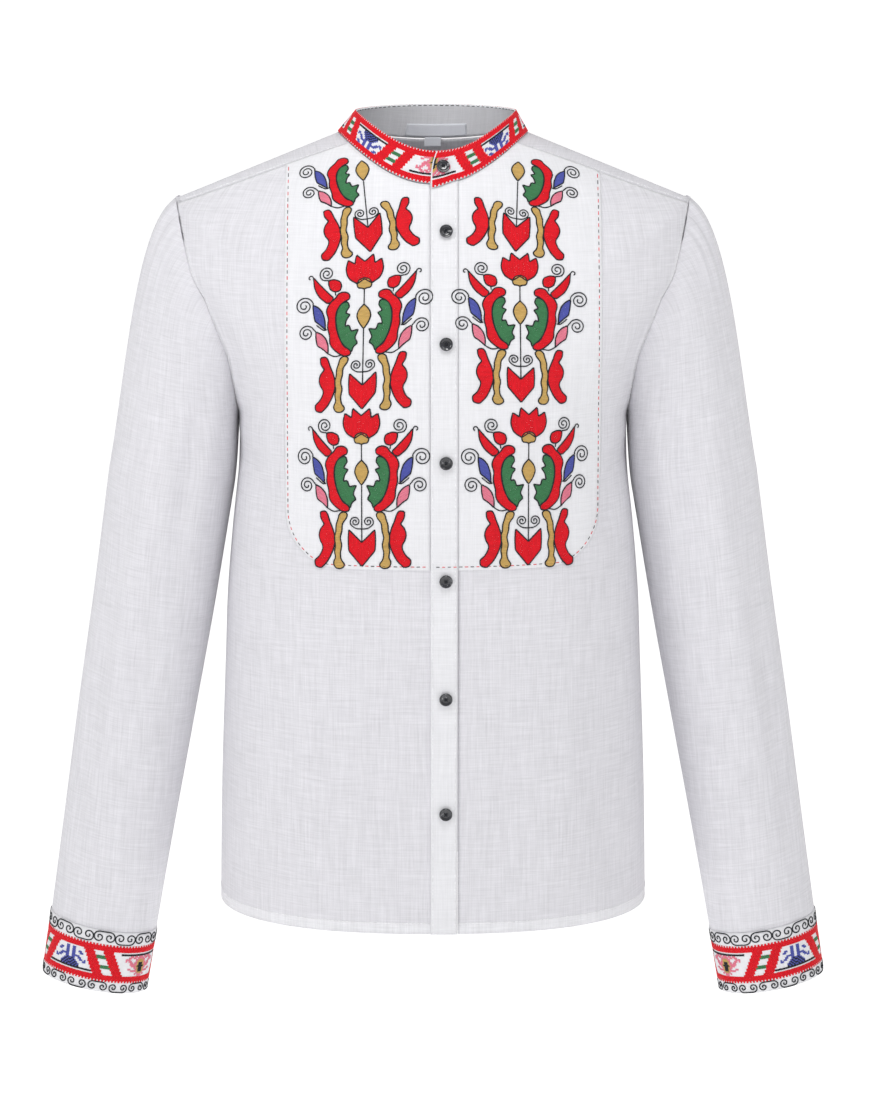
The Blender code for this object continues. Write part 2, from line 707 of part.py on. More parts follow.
def button_places():
    """Where the buttons sit, with the direction that each faces: the collar's first, then down the placket."""
    turn = turn_at(1, COLLAR_BUTTON_X, 0.5)
    steps = ((0, 0), (0.01, 0), (0, 0.1))
    surface = [Vector(collar_point(turn + t, 0.5 + h, COLLAR_OVER)) for t, h in steps]
    facing = (surface[1] - surface[0]).cross(surface[2] - surface[0]).normalized()
    facing = facing if facing.y < 0 else -facing
    places = [(surface[0] + facing * (COLLAR_WALL / 2 + SEAM_GAP), facing)]
    lift = CLOTH_WALL / 2 + SEAM_GAP + PLACKET_WALL + SEAM_GAP
    for height in BUTTON_HEIGHTS:
        station = station_at(BUTTON_X, height)
        foot, head = (Vector(front_point(BUTTON_X, station, reach)) for reach in (lift, lift + 1))
        places.append((foot, (head - foot).normalized()))
    return places


def make_buttons():
    """One button for each place, all from one mesh."""
    mesh = button_mesh()
    for number, (place, facing) in enumerate(button_places(), 1):
        button = bpy.data.objects.new(f"button_{number}", mesh)
        bpy.context.scene.collection.objects.link(button)
        button.location = place * MM
        button.rotation_euler = facing.to_track_quat("Z", "Y").to_euler()


def main():
    """Clears the scene and builds the shirt, piece by piece."""
    for thing in list(bpy.data.objects):
        bpy.data.objects.remove(thing)
    for side, word in ((-1, "right"), (1, "left")):
        front = inset(front_rows(side), last_row=HALF_GAP, last_column=HALF_GAP)
        cloth(f"front_{word}", front, CLOTH_WALL, WHITE)
        cloth(f"embroidered_panel_{word}", panel_grid(side), PANEL_WALL, WHITE)
    cloth("back", back_grid(), CLOTH_WALL, WHITE)
    cloth("yoke", yoke_grid(), CLOTH_WALL, WHITE)
    cloth("placket", placket_grid(), PLACKET_WALL, WHITE)
    make_sleeves()
    make_collar()
    make_buttons()


main()
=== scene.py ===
"""An embroidered band-collar linen shirt, filled out as it is worn, with nobody in it.

Sizes are in millimetres and become metres where a mesh is made. +X is the viewer's right, -Y the front and
+Z up. The body is a stack of rings, each of two half rings, front and back. Stations number the rings: 0 is
the hem, 1 the underarm, 2 the shoulder tip and 3 the neck.
"""

import logging
import math
from collections.abc import Callable, Sequence
from dataclasses import dataclass, field, replace
from enum import Enum

import bmesh
import bpy
import numpy as np
from mathutils import Matrix, Vector


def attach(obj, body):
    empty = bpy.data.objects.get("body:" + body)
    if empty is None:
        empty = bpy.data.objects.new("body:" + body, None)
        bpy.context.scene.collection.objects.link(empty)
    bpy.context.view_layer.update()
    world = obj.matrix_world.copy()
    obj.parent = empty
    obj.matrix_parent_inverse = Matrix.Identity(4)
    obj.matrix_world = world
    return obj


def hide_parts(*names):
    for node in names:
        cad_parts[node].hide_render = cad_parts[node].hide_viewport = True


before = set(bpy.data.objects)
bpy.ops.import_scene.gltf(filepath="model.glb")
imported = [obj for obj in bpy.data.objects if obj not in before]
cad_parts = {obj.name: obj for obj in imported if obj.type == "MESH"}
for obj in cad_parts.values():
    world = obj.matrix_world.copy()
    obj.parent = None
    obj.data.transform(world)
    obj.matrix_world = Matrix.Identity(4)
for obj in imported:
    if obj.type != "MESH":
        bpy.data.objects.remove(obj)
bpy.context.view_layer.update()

LOG = logging.getLogger("shirt")
MM = 0.001

Points = np.ndarray
Table = tuple[tuple[float, ...], ...]


def ease(t: Points | float) -> Points:
    """0 to 1 with level ends."""
    t = np.clip(t, 0, 1)
    return t * t * (3 - 2 * t)


def unit(v: Points) -> Points:
    """Vectors at length one."""
    return v / np.maximum(np.linalg.norm(v, axis=-1, keepdims=True), 1e-12)


def column(table: Sequence[Sequence[float]], number: int) -> Points:
    """One column of a table."""
    return np.array([row[number] for row in table])


def through(keys: Points, values: Points, at: Points | float) -> Points:
    """A smooth curve through values at keys.

    Args:
        keys: Rising places.
        values: The value at each place.
        at: Where the curve is read.

    Returns:
        The values there.
    """
    slopes = np.gradient(values, keys)
    i = np.clip(np.searchsorted(keys, at, side="right") - 1, 0, len(keys) - 2)
    step = keys[i + 1] - keys[i]
    t = (at - keys[i]) / step
    return (
        (1 + 2 * t) * (1 - t) ** 2 * values[i]
        + t * (1 - t) ** 2 * step * slopes[i]
        + t * t * (3 - 2 * t) * values[i + 1]
        - t * t * (1 - t) * step * slopes[i + 1]
    )


def row_at(table: Sequence[Sequence[float]], at: float, columns: Sequence[int] = (1, 2, 3)) -> list[float]:
    """Values between a table's rows, read by its first column."""
    keys = column(table, 0)
    return [float(through(keys, column(table, n), at)) for n in columns]


def lengths(points: Points) -> Points:
    """Distance along a line of points at each of them."""
    return np.concatenate([[0.0], np.cumsum(np.linalg.norm(np.diff(points, axis=0), axis=1))])


def between(table: Points, rows: Points, columns: Points) -> Points:
    """A table's values at broken row and column numbers, kept inside it."""
    height, width = table.shape[:2]
    r, c = np.clip(rows, 0, height - 1.001), np.clip(columns, 0, width - 1.001)
    i, j = r.astype(int), c.astype(int)
    shape = (-1, *(1,) * (table.ndim - 2))
    s, t = (r - i).reshape(shape), (c - j).reshape(shape)
    low = table[i, j] * (1 - t) + table[i, j + 1] * t
    return low * (1 - s) + (table[i + 1, j] * (1 - t) + table[i + 1, j + 1] * t) * s


def tangents(loop: Points) -> Points:
    """The direction along a closed loop at each of its points."""
    return unit(np.roll(loop, -1, axis=0) - np.roll(loop, 1, axis=0))


def bisect(low: float, high: float, is_below: Callable[[float], bool]) -> float:
    """The place between low and high where is_below turns false."""
    for _ in range(40):
        middle = (low + high) / 2
        low, high = (middle, high) if is_below(middle) else (low, middle)
    return (low + high) / 2


class Face(Enum):
    """The two halves of a ring."""

    FRONT = -1
    BACK = 1


class Side(Enum):
    """The wearer's right and left, which are the viewer's left and right."""

    RIGHT = -1
    LEFT = 1

    @property
    def word(self) -> str:
        """The side's name in the names of pieces."""
        return self.name.lower()


@dataclass(frozen=True)
class Ring:
    """Half a ring: its half width, the heights of its side and middle, its depth and how its panel ends."""

    half_width: float
    side_z: float
    mid_z: float
    depth: float
    power: float
    sag: float
    end: float

    def points(self, face: Face, angles: Points) -> Points:
        """Points at signed angles from the middle, without folds."""
        sine, cosine = np.sin(angles), np.maximum(np.cos(angles), 0)
        x = self.half_width * np.sign(sine) * np.abs(sine) ** self.power
        y = face.value * self.depth * cosine**self.power
        z = self.side_z + (self.mid_z - self.side_z) * cosine ** (2 + 2 * self.sag)
        return np.stack([x, y, z], axis=-1)

    def angle_at(self, x: float) -> float:
        """The signed angle at which the half ring is this far out."""
        return math.copysign(math.asin(min(1.0, (abs(x) / self.half_width) ** (1 / self.power))), x)


@dataclass(frozen=True)
class WornForm:
    """The form that the body of the shirt takes, from the hem to the neck."""

    # Half rings: station, height of the middle, depth at the middle, fullness
    front: Table = (
        (0.00, -675.0, 128.0, 2.35),
        (0.25, -566.0, 125.5, 2.30),
        (0.50, -458.0, 125.0, 2.30),
        (0.75, -349.0, 128.0, 2.30),
        (1.00, -240.0, 126.0, 2.25),
        (1.50, -196.0, 121.0, 2.00),
        (2.00, -150.0, 112.0, 1.75),
        (2.50, -92.0, 95.0, 1.85),
        (3.00, -36.0, 74.0, 2.00),
    )
    back: Table = (
        (0.00, -675.0, 119.0, 2.35),
        (0.25, -566.0, 115.0, 2.30),
        (0.50, -458.0, 113.0, 2.30),
        (0.75, -349.0, 118.0, 2.30),
        (1.00, -240.0, 125.0, 2.25),
        (1.50, -176.0, 122.0, 2.05),
        (2.00, -108.0, 113.0, 1.85),
        (2.50, -48.0, 92.0, 1.90),
        (3.00, -9.0, 63.0, 2.00),
    )
    # Side seam: station, half width, height
    side_seam: Table = (
        (0.00, 189.5, -675.0),
        (0.25, 187.0, -566.0),
        (0.50, 182.5, -458.0),
        (0.65, 179.5, -392.0),
        (0.78, 174.5, -336.0),
        (0.90, 169.0, -283.0),
        (1.00, 168.0, -240.0),
    )
    # Armhole: level from underarm to shoulder tip, half width, distance from the middle plane, height
    armhole_front: Table = (
        (0.00, 168.0, 0.0, -240.0),
        (0.12, 168.8, 24.0, -229.0),
        (0.30, 173.0, 42.0, -200.0),
        (0.50, 187.0, 50.0, -158.0),
        (0.70, 205.0, 42.0, -118.0),
        (0.85, 213.0, 28.0, -87.0),
    )
    armhole_back: Table = (
        (0.00, 168.0, 0.0, -240.0),
        (0.12, 169.5, 24.0, -228.0),
        (0.30, 175.0, 44.0, -198.0),
        (0.50, 189.0, 55.0, -160.0),
        (0.70, 204.0, 53.0, -124.0),
        (0.85, 213.0, 42.0, -96.0),
    )
    # Folds: side (-1, 1, or 0 for both), x and z of one end, x and z of the other, depth, half width
    front_folds: Table = (
        (0, 208.0, -112.0, 160.0, -215.0, -3.9, 11.0),
        (0, 196.0, -128.0, 172.0, -222.0, 2.7, 7.0),
        (-1, 168.0, -250.0, 132.0, -330.0, -2.4, 12.0),
        (1, 168.0, -246.0, 140.0, -345.0, -2.7, 12.0),
        (-1, 128.0, -470.0, 140.0, -668.0, -2.7, 17.0),
        (-1, 92.0, -440.0, 84.0, -668.0, 2.4, 20.0),
        (1, 118.0, -450.0, 104.0, -668.0, 2.7, 20.0),
        (1, 146.0, -500.0, 158.0, -668.0, -2.7, 14.0),
    )
    back_folds: Table = (
        (0, 205.0, -110.0, 150.0, -250.0, -3.6, 13.0),
        (0, 40.0, -130.0, 66.0, -640.0, 4.2, 16.0),
        (0, 74.0, -150.0, 104.0, -660.0, -3.4, 15.0),
        (0, 120.0, -330.0, 140.0, -668.0, 2.9, 17.0),
    )
    tip_x: float = 222.0
    tip_z: float = -55.0
    neck_x: float = 80.5
    neck_z: float = 2.0
    neck_sag: float = 0.2
    yoke_seam_neck_y: float = 36.0
    yoke_tip_y: tuple[float, float] = (13.0, 27.0)

    def end_angle(self, distance: float, depth: float, power: float) -> float:
        """The angle from the middle at which a half ring comes this near the middle plane."""
        return math.acos(min(1.0, (distance / depth) ** (1 / power)))

    def ring(self, face: Face, station: float) -> Ring:
        """The half ring at a station.

        Args:
            face: Front or back.
            station: From 0, the hem, to 3, the neck.

        Returns:
            The half ring, with the angle at which the body's panel ends there.
        """
        is_front = face is Face.FRONT
        table = self.front if is_front else self.back
        mid_z, depth, fullness = row_at(table, station)
        power = 2 / fullness
        if station <= 1:
            half_width, side_z = row_at(self.side_seam, station, (1, 2))
            return Ring(half_width, side_z, mid_z, depth, power, 0.0, math.pi / 2)
        corner_y = self.yoke_tip_y[0 if is_front else 1]
        if station < 2:
            edge = list(self.armhole_front if is_front else self.armhole_back)
            edge.append((1.0, *self.tip_corner(table, corner_y)))
            edge_x, edge_y, edge_z = row_at(edge, station - 1)
            end = self.end_angle(edge_y, depth, power)
            sine = math.sin(end)
            side_z = mid_z + (edge_z - mid_z) / sine**2
            return Ring(edge_x / sine**power, side_z, mid_z, depth, power, 0.0, end)
        t = station - 2
        seam_y = corner_y + (self.yoke_seam_neck_y - corner_y) * t
        return Ring(
            self.tip_x + (self.neck_x - self.tip_x) * t,
            self.tip_z + (self.neck_z - self.tip_z) * t,
            mid_z,
            depth,
            power,
            self.neck_sag * float(ease(t)) if is_front else 0.0,
            self.end_angle(seam_y, depth, power),
        )

    def tip_corner(self, table: Table, distance: float) -> tuple[float, float, float]:
        """The point of the shoulder-tip ring at this distance from the middle plane."""
        _, mid_z, depth, fullness = next(row for row in table if row[0] == 2.0)
        sine = math.sin(self.end_angle(distance, depth, 2 / fullness))
        return self.tip_x * sine ** (2 / fullness), distance, mid_z + (self.tip_z - mid_z) * sine**2

    def fold_height(self, points: Points, face: Face) -> Points:
        """How far the folds lift each point of one face."""
        lift = np.zeros(points.shape[:-1])
        folds = self.front_folds if face is Face.FRONT else self.back_folds
        for side, x0, z0, x1, z1, depth, half in folds:
            for sign in (-1, 1) if side == 0 else (side,):
                start = np.array([sign * x0, z0])
                along = np.array([sign * x1, z1]) - start
                length = np.linalg.norm(along)
                away = points[..., [0, 2]] - start
                t = away @ along / length**2
                across = (away[..., 0] * along[1] - away[..., 1] * along[0]) / length
                lift += depth * np.exp(-((across / half) ** 2)) * ease(t / 0.3) * ease((1 - t) / 0.3)
        return lift

    def surface(self, face: Face, station: float, angles: Points) -> tuple[Points, Points]:
        """The cloth's middle surface along one half ring.

        Args:
            face: Front or back.
            station: From 0, the hem, to 3, the neck.
            angles: Signed angles from the middle.

        Returns:
            The points, folds included, and the outward direction at each.
        """
        step = 1e-3
        ring = self.ring(face, station)
        here = ring.points(face, angles)
        above = self.ring(face, min(3.0, station + step)).points(face, angles)
        below = self.ring(face, max(0.0, station - step)).points(face, angles)
        round_it = ring.points(face, angles + step) - ring.points(face, angles - step)
        out = unit(np.cross(round_it, above - below)) * -face.value
        return here + out * self.fold_height(here, face)[..., None], out

    def points(self, face: Face, station: float, angles: Points, lift: float = 0.0) -> Points:
        """Points of the surface, moved out by lift."""
        points, out = self.surface(face, station, angles)
        return points + out * lift

    def angles_at(self, face: Face, station: float, start: float, end: float, marks: Points) -> Points:
        """Angles at shares of the length of one stretch of a half ring."""
        fine = np.linspace(start, end, 200)
        run = lengths(self.ring(face, station).points(face, fine))
        return np.interp(marks * run[-1], run, fine)

    def angles_evenly(self, face: Face, station: float, start: float, end: float, count: int) -> Points:
        """Angles that divide a stretch of a half ring into equal lengths."""
        return self.angles_at(face, station, start, end, np.linspace(0, 1, count + 1))

    def station_at(self, x: float, z: float) -> float:
        """The station at which the front, this far out, is this high."""

        def is_below(station: float) -> bool:
            """Whether the front is lower there."""
            ring = self.ring(Face.FRONT, station)
            return ring.points(Face.FRONT, np.array([ring.angle_at(x)]))[0][2] < z

        return bisect(0.0, 3.0, is_below)

    def front_point(self, x: float, station: float, lift: float) -> Points:
        """A point of the front, this far out at this station, moved out by lift."""
        ring = self.ring(Face.FRONT, station)
        return self.points(Face.FRONT, station, np.array([ring.angle_at(x)]), lift)[0]

    def seam_station(self, x: float) -> float:
        """The station above the shoulder tip at which the yoke's front seam is this far out."""

        def is_further(station: float) -> bool:
            """Whether the seam is further out there."""
            ring = self.ring(Face.FRONT, station)
            return ring.points(Face.FRONT, np.array([ring.end]))[0][0] > x

        return bisect(2.0, 3.0, is_further)


@dataclass(frozen=True)
class Wall:
    """The cloth's walls and how layers lie on each other."""

    cloth: float = 0.9
    panel: float = 0.7
    placket: float = 1.2
    cuff: float = 1.6
    collar: float = 1.5
    label: float = 0.6
    seam_gap: float = 0.12
    between: float = 0.1

    @property
    def panel_lift(self) -> float:
        """From a front's middle surface to an embroidered panel's."""
        return self.cloth / 2 + self.between + self.panel / 2

    @property
    def placket_lift(self) -> float:
        """From a front's middle surface to the placket's."""
        return self.cloth / 2 + self.between + self.placket / 2


FORM = WornForm()
WALL = Wall()


class Slot(Enum):
    """Names of material slots."""

    LINEN = "linen"
    DOUBLE = "linen_double"
    BAND = "embroidered_band"
    LABEL = "label"
    BUTTON = "button"


def new_object(name: str, mesh: bpy.types.Mesh) -> bpy.types.Object:
    """Links a mesh to the scene as an object at the origin."""
    piece = bpy.data.objects.new(name, mesh)
    bpy.context.scene.collection.objects.link(piece)
    return piece


def join_shirt(piece: bpy.types.Object, slot: "Slot", *nodes: str) -> bpy.types.Object:
    """Makes a piece part of the shirt and hides the model's nodes that it stands for."""
    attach(piece, "root")
    if nodes:
        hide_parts(*nodes)
    return piece


def inset(grid: Points, first_row=0.0, last_row=0.0, first_column=0.0, last_column=0.0) -> Points:
    """Draws the edges of a grid of points in along the cloth."""
    grid = grid.copy()
    grid[0] += unit(grid[1] - grid[0]) * first_row
    grid[-1] += unit(grid[-2] - grid[-1]) * last_row
    grid[:, 0] += unit(grid[:, 1] - grid[:, 0]) * first_column
    grid[:, -1] += unit(grid[:, -2] - grid[:, -1]) * last_column
    return grid


@dataclass
class Cloth:
    """One cut piece of cloth: a grid of points, made a thin closed wall."""

    name: str
    grid: Points
    wall: float
    closed: bool = False
    layers: Points | None = None
    upright: bool = False

    def flat_size(self) -> tuple[float, float, float]:
        """The piece's widest row, longest column and area, in metres and square metres."""
        grid = self.grid
        if self.closed:
            grid = np.concatenate([grid, grid[:, :1]], axis=1)
        across = np.linalg.norm(np.diff(grid, axis=1), axis=2)
        along = np.linalg.norm(np.diff(grid, axis=0), axis=2)
        first = np.cross(grid[1:, 1:] - grid[:-1, :-1], grid[1:, :-1] - grid[:-1, 1:])
        area = np.linalg.norm(first, axis=2).sum() / 2
        return across.sum(axis=1).max() * MM, along.sum(axis=0).max() * MM, area * MM**2

    def make(self, material: bpy.types.Material) -> bpy.types.Object:
        """Builds the wall.

        Args:
            material: The cloth's finish.

        Returns:
            The piece, with a UV map in metres along and across the cloth and a point attribute layers,
            which is 1 on one layer of cloth and more where it is turned or sewn down double.
        """
        rows, columns = self.grid.shape[:2]
        maker = bmesh.new()
        metres = self.grid * MM
        corner = [[maker.verts.new(Vector(metres[r, c])) for c in range(columns)] for r in range(rows)]
        across = np.cumsum(np.linalg.norm(np.diff(metres, axis=1, append=metres[:, :1]), axis=2), axis=1)
        across = np.concatenate([np.zeros((rows, 1)), across], axis=1)
        across -= across[:, columns // 2 : columns // 2 + 1]
        if self.upright:
            steps = np.linalg.norm(np.diff(metres[..., :2], axis=1), axis=2)
            level = np.concatenate([np.zeros((rows, 1)), np.cumsum(steps, axis=1)], axis=1)
            middle = int(np.abs(metres[0, :, 0]).argmin())
            level += np.abs(metres[:, middle : middle + 1, 0]) - level[:, middle : middle + 1]
            across[:, :columns] = level
        along = np.cumsum(np.linalg.norm(np.diff(metres, axis=0, prepend=metres[:1]), axis=2), axis=0)
        along = metres[..., 2] if self.upright else along
        along = np.concatenate([along, along[:, :1]], axis=1)
        uv = maker.loops.layers.uv.new("cloth")
        for r in range(rows - 1):
            for c in range(columns if self.closed else columns - 1):
                d = (c + 1) % columns
                face = maker.faces.new((corner[r][c], corner[r][d], corner[r + 1][d], corner[r + 1][c]))
                places = ((r, c), (r, c + 1), (r + 1, c + 1), (r + 1, c))
                for loop, place in zip(face.loops, places):
                    loop[uv].uv = (across[place], along[place])
        mesh = bpy.data.meshes.new(self.name)
        maker.to_mesh(mesh)
        maker.free()
        layers = np.ones((rows, columns)) if self.layers is None else self.layers
        attribute = mesh.attributes.new("layers", "FLOAT", "POINT")
        attribute.data.foreach_set("value", layers.ravel().astype(np.float32))
        piece = new_object(self.name, mesh)
        thicken = piece.modifiers.new("wall", "SOLIDIFY")
        thicken.thickness = self.wall * MM
        thicken.offset = 0
        thicken.use_even_offset = True
        mesh.materials.append(material)
        mesh.shade_smooth()
        return piece

    def place(self, material: bpy.types.Material, node: str, slot: Slot) -> bpy.types.Object:
        """Builds the piece and puts it in its node's place."""
        piece = join_shirt(self.make(material), slot, node)
        width, length, area = self.flat_size()
        LOG.info("%s: cut %.0f by %.0f mm, %.4f m2", self.name, width / MM, length / MM, area)
        return piece

    def declare(self, piece: bpy.types.Object, held: str, rests_on: str, with_pieces: Sequence = ()) -> None:
        """Works out the size and area the piece was cut to, and keeps neither.

        Args:
            piece: The placed piece; not used.
            held: How the cloth is held; not used.
            rests_on: The node that carries it; not used.
            with_pieces: Smaller pieces that go with it; not used.
        """
        width, length, area = self.flat_size()
        area = min(area, width * length)

    def lay(self, material: bpy.types.Material, node: str, slot: Slot, held: str, rests_on: str) -> None:
        """Places the piece and works out its cut."""
        self.declare(self.place(material, node, slot), held, rests_on)


def shares(count: int, length: float, band: float, at_start: bool = True, at_end: bool = True) -> Points:
    """Even shares of a length, with two more near each end, where doubled cloth stops.

    Args:
        count: How many even steps.
        length: The whole length.
        band: Width of the doubled cloth at an end.
        at_start: Whether there is such a band at the start.
        at_end: Whether there is one at the end.

    Returns:
        Rising shares from 0 to 1.
    """
    marks = list(np.linspace(0, 1, count + 1))
    if at_start:
        marks += [band / length, (band + 0.5) / length]
    if at_end:
        marks += [1 - band / length, 1 - (band + 0.5) / length]
    return np.sort(np.array(marks))


@dataclass
class BodyCloth:
    """The two fronts, the back and the yoke."""

    rows_to_underarm: int = 72
    rows_to_tip: int = 36
    rows_to_neck: int = 30
    front_columns: int = 56
    back_columns: int = 104
    ridge_columns: int = 9
    hem: float = 9.5
    allowance: float = 7.0
    underlap: float = 19.0
    left_edge: float = 21.3
    doubled: float = 1.4
    hem_to_underarm: float = 436.0
    seam: float = 0.15

    @property
    def hem_station(self) -> float:
        """The station at the top of the turned hem."""
        return self.hem / self.hem_to_underarm

    def stations(self, top: float) -> Points:
        """Stations from the hem up to a top one, with two at the edge of the turned hem."""
        fold = [self.hem_station, self.hem_station + 0.0012]
        low = np.sort(np.append(np.linspace(0, 1, self.rows_to_underarm + 1), fold))
        t = np.linspace(0, 1, self.rows_to_tip + 1)[1:]
        marks = [*low, *(1 + t * (1.35 - 0.35 * t))]
        if top > 2:
            marks += list(np.linspace(2, top, self.rows_to_neck + 1)[1:])
        return np.array(marks)

    def doubled_where(self, rows: Sequence[Points], columns: Sequence[Points]) -> Points:
        """Layers of cloth at each point, from the rows and the columns that are doubled."""
        return np.maximum(1 + (self.doubled - 1) * np.array(columns), 1 + np.array(rows)[:, None])

    def front(self, side: Side) -> Cloth:
        """One front, from its closure edge to its side seam, armhole and yoke seam."""
        rows, bands, hems = [], [], []
        inner = -self.underlap if side is Side.RIGHT else self.left_edge
        for station in self.stations(3.0):
            ring = FORM.ring(Face.FRONT, station)
            start = ring.angle_at(inner)
            length = lengths(ring.points(Face.FRONT, np.linspace(start, ring.end, 60)))[-1]
            marks = shares(self.front_columns, length, self.allowance, at_start=False)
            angles = FORM.angles_at(Face.FRONT, station, start, ring.end, marks)
            rows.append(FORM.points(Face.FRONT, station, side.value * angles))
            bands.append(marks >= 1 - (self.allowance + 0.1) / length)
            hems.append(float(station <= self.hem_station + 1e-4))
        grid = inset(np.array(rows), last_row=self.seam, last_column=self.seam)
        layers = self.doubled_where(hems, bands)
        return Cloth(f"front_{side.word}_cloth", grid, WALL.cloth, layers=layers, upright=True)

    def seam_inset(self, angles: Points) -> Points:
        """How far each panel stops short of the back yoke seam, where the cloth bends across it."""
        below, above = (FORM.surface(Face.BACK, station, angles)[1] for station in (1.99, 2.01))
        bend = np.sum(below * above, axis=1)
        return self.seam + WALL.cloth / 2 * np.sqrt((1 - bend) / (1 + bend))

    def back(self) -> Cloth:
        """The back, from side to side and from the hem to the yoke seam."""
        rows, bands, hems = [], [], []
        for station in self.stations(2.0):
            ring = FORM.ring(Face.BACK, station)
            length = lengths(ring.points(Face.BACK, np.linspace(-ring.end, ring.end, 120)))[-1]
            marks = shares(self.back_columns, length, self.allowance)
            angles = FORM.angles_at(Face.BACK, station, -ring.end, ring.end, marks)
            rows.append(FORM.points(Face.BACK, station, angles))
            bands.append(np.minimum(marks, 1 - marks) <= (self.allowance + 0.1) / length)
            hems.append(float(station <= self.hem_station + 1e-4))
        seam = self.seam_inset(angles)[:, None]
        grid = inset(np.array(rows), last_row=seam, first_column=self.seam, last_column=self.seam)
        return Cloth("back_cloth", grid, WALL.cloth, layers=self.doubled_where(hems, bands), upright=True)

    def yoke(self) -> Cloth:
        """The yoke, from one front seam over the shoulder and round the back to the other."""
        rows = []
        for station in np.linspace(2, 3, self.rows_to_neck + 1):
            ends = FORM.ring(Face.FRONT, station).end
            ahead = FORM.angles_evenly(Face.FRONT, station, ends, math.pi / 2, self.ridge_columns)
            behind = FORM.angles_evenly(Face.BACK, station, math.pi / 2, -math.pi / 2, self.back_columns)
            rows.append(
                np.concatenate(
                    [
                        FORM.points(Face.FRONT, station, ahead),
                        FORM.points(Face.BACK, station, behind[1:-1]),
                        FORM.points(Face.FRONT, station, -ahead[::-1]),
                    ]
                )
            )
        seam = np.full((len(rows[0]), 1), self.seam)
        behind = FORM.angles_evenly(Face.BACK, 2.0, math.pi / 2, -math.pi / 2, self.back_columns)[1:-1]
        on_seam = np.abs(behind) < FORM.ring(Face.BACK, 2.0).end
        first = self.ridge_columns + 1
        seam[first:-first, 0] = np.where(on_seam, self.seam_inset(behind), self.seam)
        return Cloth("yoke_cloth", inset(np.array(rows), seam, self.seam, self.seam, self.seam), WALL.cloth)

    def build(self, linen: bpy.types.Material) -> None:
        """Lays the four panels."""
        for side in Side:
            self.front(side).lay(linen, f"front_{side.word}", Slot.LINEN, "hung", "yoke")
        self.back().lay(linen, "back", Slot.LINEN, "hung", "yoke")
        self.yoke().lay(linen, "yoke", Slot.LINEN, "draped", "back")


